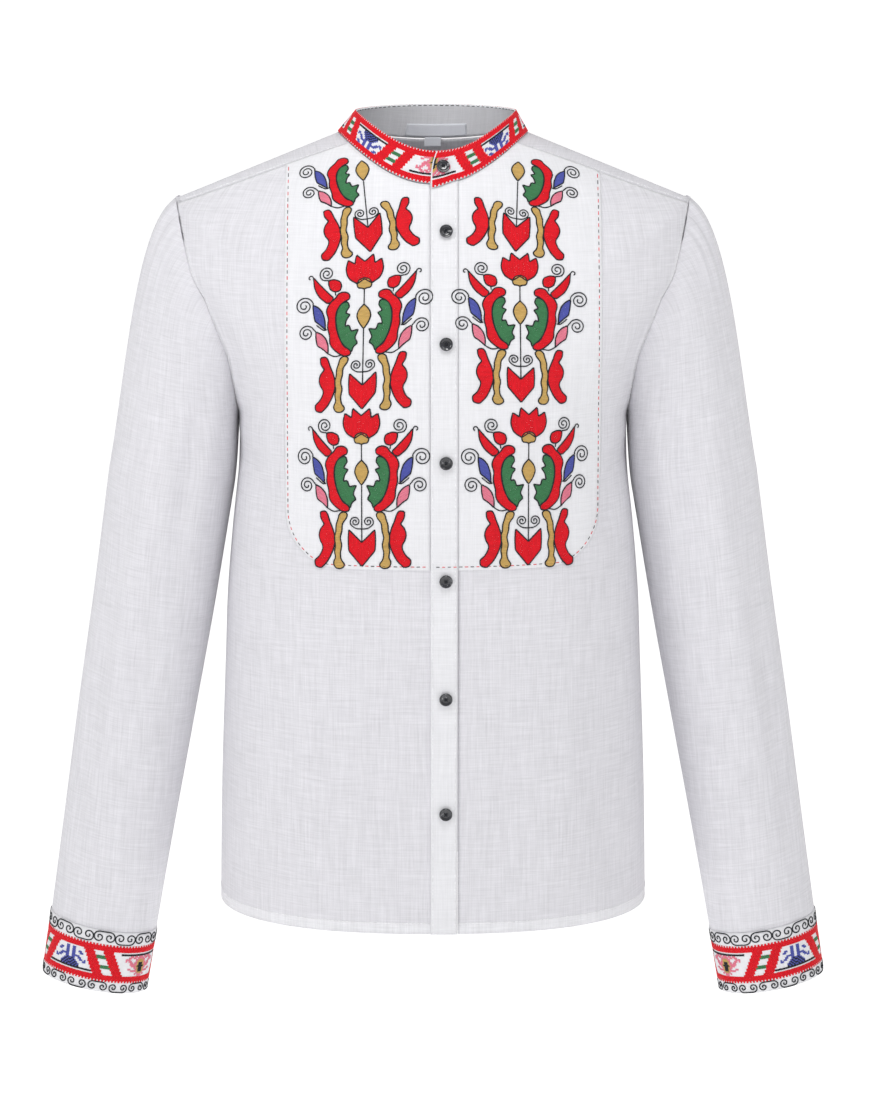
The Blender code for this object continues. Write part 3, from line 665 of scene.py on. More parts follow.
@dataclass
class Sleeves:
    """The sleeves, from their armholes to their cuffs, and the straight cuffs."""

    # Tube: height of the middle, distance out, forward, half width, half depth
    tube: Table = (
        (-754.5, 304.4, -9.0, 46.6, 34.5),
        (-700.0, 295.3, -8.0, 47.2, 38.0),
        (-619.0, 281.9, -6.0, 48.6, 44.0),
        (-509.0, 263.4, -4.0, 51.2, 50.0),
        (-400.0, 244.7, -2.0, 53.2, 55.5),
        (-300.0, 229.0, 0.0, 54.8, 60.0),
    )
    tilt: float = math.radians(11.2)
    cuff_height: float = 57.0
    # Soft folds: place round the sleeve, from and to along it, depth, half width
    folds: Table = (
        (0.20, 0.10, 0.55, -3.8, 0.030),
        (0.30, 0.22, 0.80, 3.5, 0.035),
        (0.37, 0.45, 0.98, -3.2, 0.030),
        (0.66, 0.15, 0.70, -3.8, 0.035),
        (0.76, 0.35, 0.95, 3.5, 0.035),
        (0.86, 0.10, 0.60, -3.5, 0.030),
    )
    # Pleats sewn into the sleeve's head, in the same columns
    pleats: Table = (
        (0.405, -0.10, 0.16, 3.6, 0.010),
        (0.432, -0.12, 0.20, 4.2, 0.010),
        (0.462, -0.10, 0.17, 3.3, 0.011),
        (0.535, -0.10, 0.16, 3.3, 0.011),
        (0.566, -0.12, 0.19, 3.9, 0.010),
        (0.595, -0.10, 0.15, 3.0, 0.010),
    )
    cap_rows: int = 44
    tube_rows: int = 64
    cuff_rows: int = 14
    roll_radius: float = 0.75
    roll_lift: float = -0.2
    roll_sides: int = 8
    steps: tuple[int, int, int] = (44, 5, 10)

    def armhole(self, side: Side) -> tuple[Points, Points, Points]:
        """The armhole from the underarm up the front, over the tip and down the back.

        Args:
            side: Which sleeve.

        Returns:
            Its points, the body's outward direction at each, and the share of the way round.
        """
        up, ahead, behind = self.steps
        t = np.linspace(0, 1, up + 1)
        levels = list(1 + t * (1.35 - 0.35 * t))
        front_end, back_end = (FORM.ring(face, 2.0).end for face in Face)
        places = [(Face.FRONT, level, FORM.ring(Face.FRONT, level).end) for level in levels[:-1]]
        places += [(Face.FRONT, 2.0, a) for a in np.linspace(front_end, math.pi / 2, ahead + 1)]
        places += [(Face.BACK, 2.0, a) for a in np.linspace(math.pi / 2, back_end, behind + 1)[1:]]
        places += [(Face.BACK, level, FORM.ring(Face.BACK, level).end) for level in levels[-2:0:-1]]
        surface = [FORM.surface(face, level, np.array([side.value * angle])) for face, level, angle in places]
        points, out = (np.concatenate(parts) for parts in zip(*surface))
        run = np.linalg.norm(np.roll(points, -1, axis=0) - points, axis=1)
        place = np.concatenate([[0], np.cumsum(run)[:-1]])
        tip = place[up + ahead]
        place = np.where(place <= tip, 0.5 * place / tip, 0.5 + 0.5 * (place - tip) / (run.sum() - tip))
        return points, out, place

    def ring(self, side: Side, height: float, place: Points) -> Points:
        """A ring of the sleeve's tube, square to the sleeve, at places round it."""
        out, forward, half_width, half_depth = row_at(self.tube, height, (1, 2, 3, 4))
        angle = 2 * math.pi * place - math.pi / 2
        reach = half_width * np.sin(angle)
        x = out + reach * math.cos(self.tilt)
        y = forward - half_depth * np.cos(angle)
        z = height + reach * math.sin(self.tilt)
        return np.stack([side.value * x, y, z], axis=-1)

    def fold_height(self, place: Points, along: float) -> Points:
        """How far folds and pleats lift the sleeve at one distance along it."""
        lift = np.zeros(len(place))
        for centre, start, end, depth, half in (*self.folds, *self.pleats):
            t = (along - start) / (end - start)
            fade = float(ease(t / 0.4) * ease((1 - t) / 0.4))
            lift += depth * fade * np.exp(-(((place - centre) / half) ** 2))
        return lift

    @property
    def cuff_top(self) -> float:
        """Height of the seam between sleeve and cuff."""
        return self.tube[0][0] + self.cuff_height

    def sleeve(self, side: Side) -> Cloth:
        """One sleeve, armhole first."""
        loop, out, place = self.armhole(side)
        angle = 2 * math.pi * place - math.pi / 2
        high = (0.5 + 0.5 * np.sin(angle))[:, None]
        sign = side.value
        leave = np.array([0.10 * sign, 0, -0.99]) * (1 - high) + np.array([0.85 * sign, 0, -0.52]) * high
        leave[:, 1] -= 0.25 * np.cos(angle)
        leave = unit(leave)
        along_edge = tangents(loop)
        arrive = sign * np.cross(along_edge, out)
        across_edge = unit(leave - along_edge * np.sum(leave * along_edge, axis=1, keepdims=True))
        bend = np.sum(across_edge * arrive, axis=1)
        half = WALL.cloth / 2
        turned = np.sqrt(np.maximum(0, 1 - bend) / np.maximum(1 + bend, 1e-6))
        steep = (half + WALL.seam_gap) * np.sqrt(np.maximum(0, 1 - bend**2))
        beyond = np.where(bend > 0, WALL.seam_gap + half * np.minimum(1, turned), steep)
        above = (WALL.cloth + WALL.seam_gap) * (1 - bend) / 2
        start = loop + arrive * beyond[:, None] + out * above[:, None]
        first_height = self.tube[-1][0]
        top = self.ring(side, first_height, place)
        axis = np.array([sign * math.sin(self.tilt), 0.0, -math.cos(self.tilt)])
        span = np.linalg.norm(top - start, axis=1, keepdims=True)
        rows, run = [], []
        for t in np.linspace(0, 1, self.cap_rows + 1) ** 1.15:
            rows.append(
                (1 + 2 * t) * (1 - t) ** 2 * start
                + t * (1 - t) ** 2 * span * 0.5 * leave
                + t * t * (3 - 2 * t) * top
                - t * t * (1 - t) * span * axis
            )
            run.append(0.35 * t)
        for t in np.linspace(0, 1, self.tube_rows + 1)[1:]:
            rows.append(self.ring(side, first_height + (self.cuff_top - first_height) * t, place))
            run.append(0.35 + 0.65 * t)
        grid = np.array(rows)
        outwards = unit(grid - grid.mean(axis=1, keepdims=True))
        lift = np.array([self.fold_height(place, along) for along in run])
        grid = inset(grid + outwards * lift[..., None], last_row=0.15)
        return Cloth(f"sleeve_{side.word}_cloth", grid[::-1], WALL.cloth, closed=True)

    def cuff(self, side: Side) -> Cloth:
        """One cuff, from its mouth up to the sleeve."""
        place = self.armhole(side)[2]
        heights = np.linspace(self.tube[0][0], self.cuff_top, self.cuff_rows + 1)
        grid = np.array([self.ring(side, height, place) for height in heights])
        return Cloth(f"cuff_{side.word}_cloth", inset(grid, last_row=0.15), WALL.cuff, closed=True)

    def seam_roll(self, side: Side, linen: bpy.types.Material) -> None:
        """The rolled seam allowance in the groove of the armhole.

        Args:
            side: Which sleeve.
            linen: Its finish.
        """
        points, out, _ = self.armhole(side)
        count, turns = len(points), self.roll_sides
        along = tangents(points)
        across = np.cross(along, out)
        angles = np.arange(turns) * 2 * math.pi / turns
        middle = points + out * self.roll_lift
        rings = [middle + self.roll_radius * (math.cos(a) * across + math.sin(a) * out) for a in angles]
        run = np.append(lengths(points), lengths(points)[-1] + np.linalg.norm(points[0] - points[-1]))
        faces, places = [], []
        for turn in range(turns):
            for step in range(count):
                corners = ((turn, step), (turn, step + 1), (turn + 1, step + 1), (turn + 1, step))
                faces.append([row % turns * count + place % count for row, place in corners])
                places += [(run[place] * MM, row * self.roll_radius * MM) for row, place in corners]
        mesh = bpy.data.meshes.new(f"armhole_seam_{side.word}")
        mesh.from_pydata((np.concatenate(rings) * MM).tolist(), [], faces)
        mesh.uv_layers.new(name="cloth").data.foreach_set("uv", np.array(places, dtype=np.float32).ravel())
        maker = bmesh.new()
        maker.from_mesh(mesh)
        bmesh.ops.recalc_face_normals(maker, faces=maker.faces)
        maker.to_mesh(mesh)
        maker.free()
        mesh.shade_smooth()
        mesh.materials.append(linen)
        join_shirt(new_object(mesh.name, mesh), Slot.LINEN)
        LOG.info("%s: %d steps", mesh.name, count)

    def build(self, linen: bpy.types.Material, double: bpy.types.Material) -> None:
        """Lays both sleeves and cuffs."""
        for side in Side:
            word = side.word
            self.sleeve(side).lay(linen, f"sleeve_{word}", Slot.LINEN, "hung", f"front_{word}")
            self.seam_roll(side, linen)
            self.cuff(side).lay(double, f"cuff_{word}", Slot.BAND, "hung", f"sleeve_{word}")


@dataclass
class Closure:
    """The placket and the lines that the buttons follow."""

    left: float = -2.0
    right: float = 21.0
    drop: float = 4.0
    columns: int = 12
    button_x: float = 11.0

    def drop_at(self, x: float) -> float:
        """How much lower than the neckline the placket's top sits at the closure."""
        return self.drop * float(np.clip((15 - x) / 18, 0, 1.1))

    def placket(self, stations: Points) -> Cloth:
        """The placket, whose top edge slopes down to the closure's edge."""
        xs = np.linspace(self.left, self.right, self.columns + 1)
        rows = [[FORM.front_point(x, station, WALL.placket_lift) for x in xs] for station in stations[:-1]]
        necks = [FORM.front_point(x, 3.0, 0)[2] - self.drop_at(x) for x in xs]
        ends = [FORM.station_at(x, z) for x, z in zip(xs, necks)]
        rows.append([FORM.front_point(x, end, WALL.placket_lift) for x, end in zip(xs, ends)])
        return Cloth("placket_cloth", inset(np.array(rows), last_row=0.15), WALL.placket, upright=True)

    def build(self, double: bpy.types.Material, stations: Points) -> None:
        """Lays the placket."""
        self.placket(stations).lay(double, "placket", Slot.DOUBLE, "hung", "front_left")


@dataclass
class ChestPanels:
    """The two panels sewn on the chest, which carry the embroidery."""

    inner: tuple[float, float] = (2.3, 21.3)
    outer: tuple[float, float] = (125.0, 142.5)
    bottom: float = -355.0
    corner: float = 46.0
    columns: int = 44

    def edges(self, side: Side) -> tuple[float, float]:
        """How far out a panel's inner and outer edges are."""
        number = 0 if side is Side.RIGHT else 1
        return self.inner[number], self.outer[number]

    def outer_at(self, side: Side, rise: float) -> float:
        """How far out the panel reaches at a height above its bottom edge."""
        drop = max(0.0, self.corner - rise)
        return self.edges(side)[1] - self.corner + math.sqrt(self.corner**2 - drop**2)

    def panel(self, side: Side, stations: Points) -> Cloth:
        """One panel, which has a round bottom corner and ends at the yoke and neck seams."""
        bottom_station = FORM.station_at(0.0, self.bottom)
        rises = self.corner * (1 - np.cos(np.linspace(0, 1.4, 15)))
        turn = [FORM.station_at(0.0, self.bottom + rise) for rise in rises]
        marks = sorted({*turn, *(s for s in stations if s > turn[-1] + 1e-3)})
        rows = []
        for station in marks:
            ring = FORM.ring(Face.FRONT, station)
            rise = FORM.ring(Face.FRONT, min(station, 1.0)).mid_z - self.bottom
            rise = 0.0 if station <= bottom_station + 1e-9 else rise
            start = ring.angle_at(self.edges(side)[0])
            end = min(ring.angle_at(self.outer_at(side, rise)), ring.end)
            angles = FORM.angles_evenly(Face.FRONT, station, start, end, self.columns)
            rows.append(FORM.points(Face.FRONT, station, side.value * angles, WALL.panel_lift))
        grid = inset(np.array(rows), last_row=0.4, last_column=0.4)
        return Cloth(f"chest_panel_{side.word}", grid, WALL.panel, upright=True)

    def build(self, double: bpy.types.Material, stations: Points) -> None:
        """Lays both panels."""
        for side in Side:
            node = f"embroidered_panel_{side.word}"
            self.panel(side, stations).lay(double, node, Slot.DOUBLE, "laid", f"front_{side.word}")


@dataclass
class Collar:
    """The band collar, with the bare label and size tab sewn inside its back."""

    # Top edge of each half: half width, height of the side, height of the middle, depth
    top_front: tuple[float, float, float, float] = (68.0, 20.5, -9.0, 62.5)
    top_back: tuple[float, float, float, float] = (68.0, 20.5, 22.0, 57.5)
    seat: float = 1.05
    lean: float = 2.5
    over: float = 2.0
    under: float = -0.5
    height: float = 29.5
    button_x: float = 8.5
    label_size: tuple[float, float] = (55.0, 11.0)
    tab_size: tuple[float, float] = (14.0, 8.0)
    over_edge: float = -1.8
    under_x: float = 16.0
    columns: int = 240
    rows: int = 12
    known_ends: dict[float, tuple[float, float]] = field(default_factory=dict)

    def point(self, turn: float, height: float, lift: float = 0.0) -> Points:
        """A point of the collar.

        Args:
            turn: From -1, the front, over 0, the back, to 1, the front.
            height: From 0, the seam, to 1, the top edge.
            lift: How far out of the middle surface.

        Returns:
            The point.
        """
        face = Face.FRONT if abs(turn) > 0.5 else Face.BACK
        angle = math.pi * (math.copysign(1, turn) - turn) if face is Face.FRONT else math.pi * turn
        seam = FORM.ring(face, 3.0)
        half_width, side_z, mid_z, depth = self.top_front if face is Face.FRONT else self.top_back
        top = Ring(half_width, side_z, mid_z, depth, seam.power, seam.sag, math.pi / 2)
        low, high = (ring.points(face, np.array([angle]))[0] for ring in (seam, top))
        here = low + (high - low) * height
        here += unit(np.array([here[0] / FORM.neck_x**2, here[1] / 70.0**2, 0])) * lift
        here[0] += self.lean * height
        here[2] += self.seat * (1 - height)
        return here

    def turn_at(self, side: int, x: float, height: float) -> float:
        """How far round the collar, going round by this side, its front half comes to this place."""
        return side * bisect(0.5, 1.3, lambda turn: side * self.point(side * turn, height)[0] > side * x)

    def ends(self, height: float) -> tuple[float, float]:
        """How far round the collar its under end and its over end lie at a height."""
        if height not in self.known_ends:
            under = self.turn_at(-1, self.under_x, height)
            over = self.turn_at(1, self.over_edge + 5.0 * height**3, height)
            self.known_ends[height] = (under, over)
        return self.known_ends[height]

    def surface(self, share: float, height: float, closure: Closure, lift: float = 0.0) -> Points:
        """A point of the buttoned collar, by its share of the way from the under end to the over end."""
        under, over = self.ends(height)
        turn = under + (over - under) * share
        rise = self.over * float(ease((turn - over + 0.22) / 0.11))
        rise += self.under * float(ease((under + 0.22 - turn) / 0.11))
        point = self.point(turn, height, rise + lift)
        if turn > 0.9:
            point += np.array([0, -0.6, -1]) * closure.drop_at(point[0]) * (1 - height)
        return point

    def band(self, closure: Closure) -> Cloth:
        """The collar, from the end that lies under, round the back, to the end over it."""
        grid = [
            [self.surface(share, height, closure) for share in np.linspace(0, 1, self.columns + 1)]
            for height in np.linspace(0, 1, self.rows + 1)
        ]
        return Cloth("collar_cloth", np.array(grid), WALL.collar)

    def inside(self, name: str, size: tuple[float, float], foot: float, shift: float) -> Cloth:
        """A small bare piece sewn inside the back of the collar."""
        inward = -(WALL.collar / 2 + WALL.seam_gap + WALL.label / 2)
        reach = size[0] / (math.pi * 156.0)
        turns = np.linspace(-reach, reach, 25) + shift / (math.pi * 78.0)
        heights = np.linspace(foot, foot + size[1] / self.height, 9)
        return Cloth(name, np.array([[self.point(t, h, inward) for t in turns] for h in heights]), WALL.label)

    def build(self, double: bpy.types.Material, label: bpy.types.Material, closure: Closure) -> None:
        """Lays the collar, its label and its size tab."""
        self.band(closure).lay(double, "collar_band", Slot.BAND, "hung", "yoke")
        tab_foot = 0.025 - self.tab_size[1] / self.height
        tab = self.inside("size_tab_cloth", self.tab_size, tab_foot, 0.0).place(label, "size_tab", Slot.LABEL)
        wide = self.inside("neck_label_cloth", self.label_size, 0.04, 2.5)
        wide.declare(wide.place(label, "neck_label", Slot.LABEL), "hung", "collar_band", [tab])


class NodeMaker:
    """Adds nodes to a tree from left to right and joins them."""

    def __init__(self, tree: bpy.types.NodeTree) -> None:
        """Works on one tree."""
        self.tree = tree
        self.count = 0

    def add(self, kind: str, inputs: dict | None = None, **settings) -> bpy.types.Node:
        """Adds a node.

        Args:
            kind: Blender's name of the node's type.
            inputs: Values or sockets for its inputs, by name or number.
            settings: Properties of the node.

        Returns:
            The node.
        """
        node = self.tree.nodes.new(kind)
        node.location = (self.count * 180, -120 * (self.count % 3))
        self.count += 1
        for name, value in settings.items():
            setattr(node, name, value)
        for name, value in (inputs or {}).items():
            if isinstance(value, bpy.types.NodeSocket):
                self.tree.links.new(value, node.inputs[name])
            else:
                node.inputs[name].default_value = value
        return node

    def math(self, operation: str, *values) -> bpy.types.NodeSocket:
        """The result of one sum on numbers or sockets."""
        return self.add("ShaderNodeMath", dict(enumerate(values)), operation=operation).outputs[0]

    def join(self, source: bpy.types.NodeSocket, target: bpy.types.NodeSocket) -> None:
        """Links two sockets."""
        self.tree.links.new(source, target)


def shader_group(
    name: str, inputs: dict[str, float], outputs: dict[str, str]
) -> tuple[bpy.types.NodeTree, NodeMaker]:
    """Starts a shader node group.

    Args:
        name: The group's name.
        inputs: Its number inputs with their usual values.
        outputs: Its outputs with their socket types.

    Returns:
        The group and a maker for its nodes.
    """
    group = bpy.data.node_groups.new(name, "ShaderNodeTree")
    for label, value in inputs.items():
        socket = group.interface.new_socket(label, in_out="INPUT", socket_type="NodeSocketFloat")
        socket.default_value = value
    for label, kind in outputs.items():
        group.interface.new_socket(label, in_out="OUTPUT", socket_type=kind)
    return group, NodeMaker(group)


def weave_group() -> bpy.types.NodeTree:
    """Plain weave with slubs: a height for the bump and a tone for the colour, from the cloth's UV map."""
    names = {"Threads per metre": 1700.0, "Slub length": 0.03, "Slub strength": 0.5}
    outs = {"Height": "NodeSocketFloat", "Tone": "NodeSocketFloat"}
    group, make = shader_group("plain weave", names, outs)
    given = make.add("NodeGroupInput")
    uv = make.add("ShaderNodeUVMap", uv_map="cloth")
    split = make.add("ShaderNodeSeparateXYZ", {0: uv.outputs[0]})
    across, along = split.outputs[0], split.outputs[1]
    threads, slub, strength = (given.outputs[n] for n in range(3))
    turns = make.math("MULTIPLY", threads, 2 * math.pi)
    ribs = [make.math("SINE", make.math("MULTIPLY", axis, turns)) for axis in (across, along)]
    height = make.math("MULTIPLY", make.math("ADD", ribs[0], ribs[1]), 0.25)
    tone = None
    fine = make.math("DIVIDE", 1.0, slub)
    for number, (run, over) in enumerate(((across, along), (along, across))):
        for spread, weight in ((330.0, 0.4), (800.0, 0.7), (1500.0, 0.4)):
            place = make.add(
                "ShaderNodeCombineXYZ",
                {0: make.math("MULTIPLY", run, fine), 1: make.math("MULTIPLY", over, spread), 2: number * 7.3},
            )
            noise = make.add(
                "ShaderNodeTexNoise",
                {"Vector": place.outputs[0], "Scale": 1.0, "Detail": 2.0, "Roughness": 0.6},
            )
            part = make.math("MULTIPLY", make.math("SUBTRACT", noise.outputs[0], 0.5), weight)
            tone = part if tone is None else make.math("ADD", tone, part)
    tone = make.math("MULTIPLY", tone, strength)
    height = make.math("ADD", height, make.math("MULTIPLY", tone, 3.0))
    result = make.add("NodeGroupOutput")
    make.join(height, result.inputs[0])
    make.join(tone, result.inputs[1])
    return group


def crease_group() -> bpy.types.NodeTree:
    """Soft rumples of ironed cloth, as a height from the object's own coordinates."""
    group, make = shader_group("soft rumples", {"Size": 0.075}, {"Height": "NodeSocketFloat"})
    given = make.add("NodeGroupInput")
    place = make.add("ShaderNodeTexCoord")
    stretched = make.add("ShaderNodeMapping", {"Vector": place.outputs["Object"], "Scale": (1.0, 1.0, 0.45)})
    per_metre = make.math("DIVIDE", 1.0, given.outputs[0])
    noise = make.add(
        "ShaderNodeTexNoise",
        {"Vector": stretched.outputs[0], "Scale": per_metre, "Detail": 3.0, "Roughness": 0.45},
    )
    result = make.add("NodeGroupOutput")
    make.join(noise.outputs[0], result.inputs[0])
    return group


@dataclass(frozen=True)
class LinenFinish:
    """White linen, thinner and greyer where it is single, whiter where it lies double."""

    name: str
    single: tuple[float, float, float]
    doubled: tuple[float, float, float]
    rumple_depth: float = 0.0065
    weave_depth: float = 0.00022
    slub_strength: float = 0.62

    def material(self) -> bpy.types.Material:
        """Builds the finish."""
        material = bpy.data.materials.new(self.name)
        material.use_nodes = True
        make = NodeMaker(material.node_tree)
        shader = material.node_tree.nodes["Principled BSDF"]
        shader.inputs["Roughness"].default_value = 0.9
        shader.inputs["Sheen Weight"].default_value = 0.25
        shader.inputs["Sheen Roughness"].default_value = 0.5
        weave = make.add("ShaderNodeGroup", node_tree=bpy.data.node_groups["plain weave"])
        weave.inputs["Slub strength"].default_value = self.slub_strength
        rumple = make.add("ShaderNodeGroup", node_tree=bpy.data.node_groups["soft rumples"])
        layers = make.add("ShaderNodeAttribute", attribute_name="layers")
        more = make.math("SUBTRACT", layers.outputs["Fac"], 1.0)
        blend = make.add(
            "ShaderNodeMix",
            {0: more, 6: (*self.single, 1), 7: (*self.doubled, 1)},
            data_type="RGBA",
            clamp_factor=True,
        )
        light = make.math("ADD", 1.0, make.math("MULTIPLY", weave.outputs["Tone"], 0.55))
        colour = make.add("ShaderNodeVectorMath", {0: blend.outputs[2], 1: light}, operation="MULTIPLY")
        make.join(colour.outputs[0], shader.inputs["Base Color"])
        broad = make.add(
            "ShaderNodeBump",
            {"Height": rumple.outputs[0], "Distance": self.rumple_depth, "Strength": 1.0},
        )
        fine = make.add(
            "ShaderNodeBump",
            {
                "Height": weave.outputs["Height"],
                "Distance": self.weave_depth,
                "Strength": 0.6,
                "Normal": broad.outputs[0],
            },
        )
        make.join(fine.outputs[0], shader.inputs["Normal"])
        return material


LINEN = LinenFinish("white_linen", (0.72, 0.712, 0.75), (0.80, 0.797, 0.828))
DOUBLE_LINEN = LinenFinish("double_linen", (0.80, 0.80, 0.828), (0.83, 0.83, 0.855), slub_strength=0.35)
LABEL_SATIN = LinenFinish("label_satin", (0.80, 0.815, 0.87), (0.84, 0.85, 0.89), slub_strength=0.1)


class Thread(Enum):
    """The colours of the embroidery threads."""

    RED = "red"
    GREEN = "green"
    GOLD = "gold"
    BLUE = "blue"
    PINK = "pink"
    DARK = "dark"
    WHITE = "white"


@dataclass(frozen=True)
class ThreadFinish:
    """Lustrous mercerised thread."""

    thread: Thread
    colour: tuple[float, float, float]
    roughness: float = 0.55
    tone_spread: float = 0.22

    def material(self) -> bpy.types.Material:
        """Builds the finish, with a tone that differs from stitch to stitch and a fine twist."""
        material = bpy.data.materials.new(f"{self.thread.value}_thread")
        material.use_nodes = True
        make = NodeMaker(material.node_tree)
        shader = material.node_tree.nodes["Principled BSDF"]
        shader.inputs["Roughness"].default_value = self.roughness
        shader.inputs["Specular IOR Level"].default_value = 0.25
        tone = make.add("ShaderNodeAttribute", attribute_name="tone")
        spread = make.math("MULTIPLY", make.math("SUBTRACT", tone.outputs["Fac"], 0.5), self.tone_spread)
        colour = make.add(
            "ShaderNodeVectorMath", {0: self.colour, 1: make.math("ADD", 1.0, spread)}, operation="MULTIPLY"
        )
        make.join(colour.outputs[0], shader.inputs["Base Color"])
        place = make.add("ShaderNodeTexCoord")
        twist = make.add("ShaderNodeTexNoise", {"Vector": place.outputs["Object"], "Scale": 2600.0})
        bump = make.add("ShaderNodeBump", {"Height": twist.outputs[0], "Distance": 0.00012, "Strength": 0.6})
        make.join(bump.outputs[0], shader.inputs["Normal"])
        return material


THREADS = (
    ThreadFinish(Thread.RED, (0.70, 0.002, 0.012)),
    ThreadFinish(Thread.GREEN, (0.045, 0.19, 0.075)),
    ThreadFinish(Thread.GOLD, (0.56, 0.36, 0.11)),
    ThreadFinish(Thread.BLUE, (0.075, 0.09, 0.38)),
    ThreadFinish(Thread.PINK, (0.74, 0.20, 0.28)),
    ThreadFinish(Thread.DARK, (0.012, 0.014, 0.019)),
    ThreadFinish(Thread.WHITE, (0.84, 0.84, 0.86)),
)


@dataclass(frozen=True)
class Stitch:
    """One stitch on a chart, in millimetres: from and to, its width, its height and how far it is lifted."""

    start: tuple[float, float]
    end: tuple[float, float]
    width: float
    height: float
    lift: float = 0.0


def smooth(points: Sequence[tuple[float, float]], closed: bool = False, step: float = 0.7) -> Points:
    """A smooth line through a few points."""
    line = np.array(points, float)
    if closed:
        line = np.concatenate([line[-3:], line, line[:3]])
    run = lengths(line)
    first, last = (run[3], run[-3]) if closed else (0.0, run[-1])
    at = np.linspace(first, last, max(2, int((last - first) / step) + 1))
    return np.stack([through(run, line[:, n], at) for n in (0, 1)], axis=-1)


def spiral(centre: tuple[float, float], radius: float, start: float, turns: float, inner: float = 0.18) -> Points:
    """A spiral from its outer end inwards.

    Args:
        centre: Its centre.
        radius: Its outer radius.
        start: The outer end's direction from the centre, in degrees.
        turns: How many turns, negative for clockwise.
        inner: The inner radius as a share of the outer.

    Returns:
        Its points.
    """
    t = np.linspace(0, 1, int(26 * abs(turns)) + 2)
    angle = math.radians(start) + 2 * math.pi * turns * t
    reach = radius * (1 - (1 - inner) * t)
    return np.stack([centre[0] + reach * np.cos(angle), centre[1] + reach * np.sin(angle)], axis=-1)


def ends_of(points: Points, run: Points, low: float, high: float) -> list[tuple[float, float]]:
    """The points of a line at two distances along it."""
    return [tuple(float(np.interp(at, run, points[:, n])) for n in (0, 1)) for at in (low, high)]


@dataclass
class Needlework:
    """Stitches gathered on one chart, by thread."""

    stitches: dict[Thread, list[Stitch]] = field(default_factory=lambda: {thread: [] for thread in Thread})

    def fill(
        self, thread: Thread, outline: Points, angle: float, pitch: float = 0.52, longest: float = 5.5
    ) -> None:
        """Fills an outline with satin stitches.

        Args:
            thread: Its colour.
            outline: The closed outline.
            angle: The direction of the stitches, in degrees from level.
            pitch: Distance from stitch to stitch.
            longest: The longest stitch.
        """
        turn = math.radians(angle)
        back = np.array([[math.cos(turn), -math.sin(turn)], [math.sin(turn), math.cos(turn)]])
        line = outline @ back
        ahead = np.roll(line, -1, axis=0)
        count = int((line[:, 1].max() - line[:, 1].min()) / pitch)
        for number in range(count):
            y = line[:, 1].min() + (number + 0.5) * pitch
            crosses = (line[:, 1] > y) != (ahead[:, 1] > y)
            a, b = line[crosses], ahead[crosses]
            xs = np.sort(a[:, 0] + (y - a[:, 1]) / (b[:, 1] - a[:, 1]) * (b[:, 0] - a[:, 0]))
            for left, right in zip(xs[::2], xs[1::2]):
                breaks = np.arange(left - longest * (number * 0.37 % 1), right, longest)
                marks = [left, *(x for x in breaks if left + 1.0 < x < right - 1.0), right]
                for low, high in zip(marks, marks[1:]):
                    if high - low > 0.4:
                        ends = np.array([[low - 0.2, y], [high + 0.2, y]]) @ back.T
                        self.stitches[thread].append(Stitch(tuple(ends[0]), tuple(ends[1]), 0.72, 0.42))

    def line(
        self, thread: Thread, points: Points, width: float = 1.2, every: float = 1.3, lift: float = 0.12
    ) -> None:
        """Follows a line with stem stitches, each of which starts beside the one before."""
        run = lengths(points)
        count = max(1, int(run[-1] / every))
        for number in range(count):
            middle = run[-1] * (number + 0.5) / count
            ends = ends_of(points, run, max(0.0, middle - 1.0), min(run[-1], middle + 1.0))
            self.stitches[thread].append(Stitch(ends[0], ends[1], width, 0.62, lift))

    def dashes(self, threads: Sequence[Thread], points: Points, pitch: float, share: float = 0.6) -> None:
        """Follows a line with running stitches in turning colours."""
        run = lengths(points)
        for number in range(int(run[-1] / pitch)):
            ends = ends_of(points, run, number * pitch, number * pitch + pitch * share)
            self.stitches[threads[number % len(threads)]].append(Stitch(ends[0], ends[1], 0.62, 0.42))

    def cross(self, thread: Thread, centre: tuple[float, float], cell: float) -> None:
        """One cross-stitch."""
        x, y = centre
        half = cell * 0.52
        stitches = self.stitches[thread]
        stitches.append(Stitch((x - half, y - half), (x + half, y + half), 0.98, 0.34))
        stitches.append(Stitch((x - half, y + half), (x + half, y - half), 0.98, 0.34, 0.14))


@dataclass
class Sheet:
    """A dense grid of points on the cloth's outer face, read between its points."""

    points: Points
    out: Points

    def at(self, rows: Points, columns: Points, lift: Points) -> tuple[Points, Points]:
        """Points and outward directions at broken row and column numbers."""
        out = unit(between(self.out, rows, columns))
        return between(self.points, rows, columns) + out * lift[:, None], out

    @staticmethod
    def facing(points: Points, sign: float, lift: float) -> "Sheet":
        """A sheet whose outward side lies on the given side of its rows and columns, moved out by lift."""
        down = np.gradient(points, axis=0)
        across = np.gradient(points, axis=1)
        out = unit(np.cross(across, down)) * sign
        return Sheet(points + out * lift, out)


@dataclass
class StraightChart:
    """A chart along a sheet's own rows and columns, by distance along it and height."""

    sheet: Sheet
    height: float
    closed: bool = False

    def __post_init__(self) -> None:
        """Measures the sheet along its middle row."""
        self.run = lengths(self.sheet.points[len(self.sheet.points) // 2])
        self.length = float(self.run[-1])

    def place(self, places: Points, lift: Points) -> tuple[Points, Points]:
        """Points and outward directions at distances along and heights."""
        along = places[:, 0] % self.length if self.closed else places[:, 0]
        columns = np.interp(along, self.run, np.arange(len(self.run)))
        return self.sheet.at(places[:, 1] / self.height * (len(self.sheet.points) - 1), columns, lift)


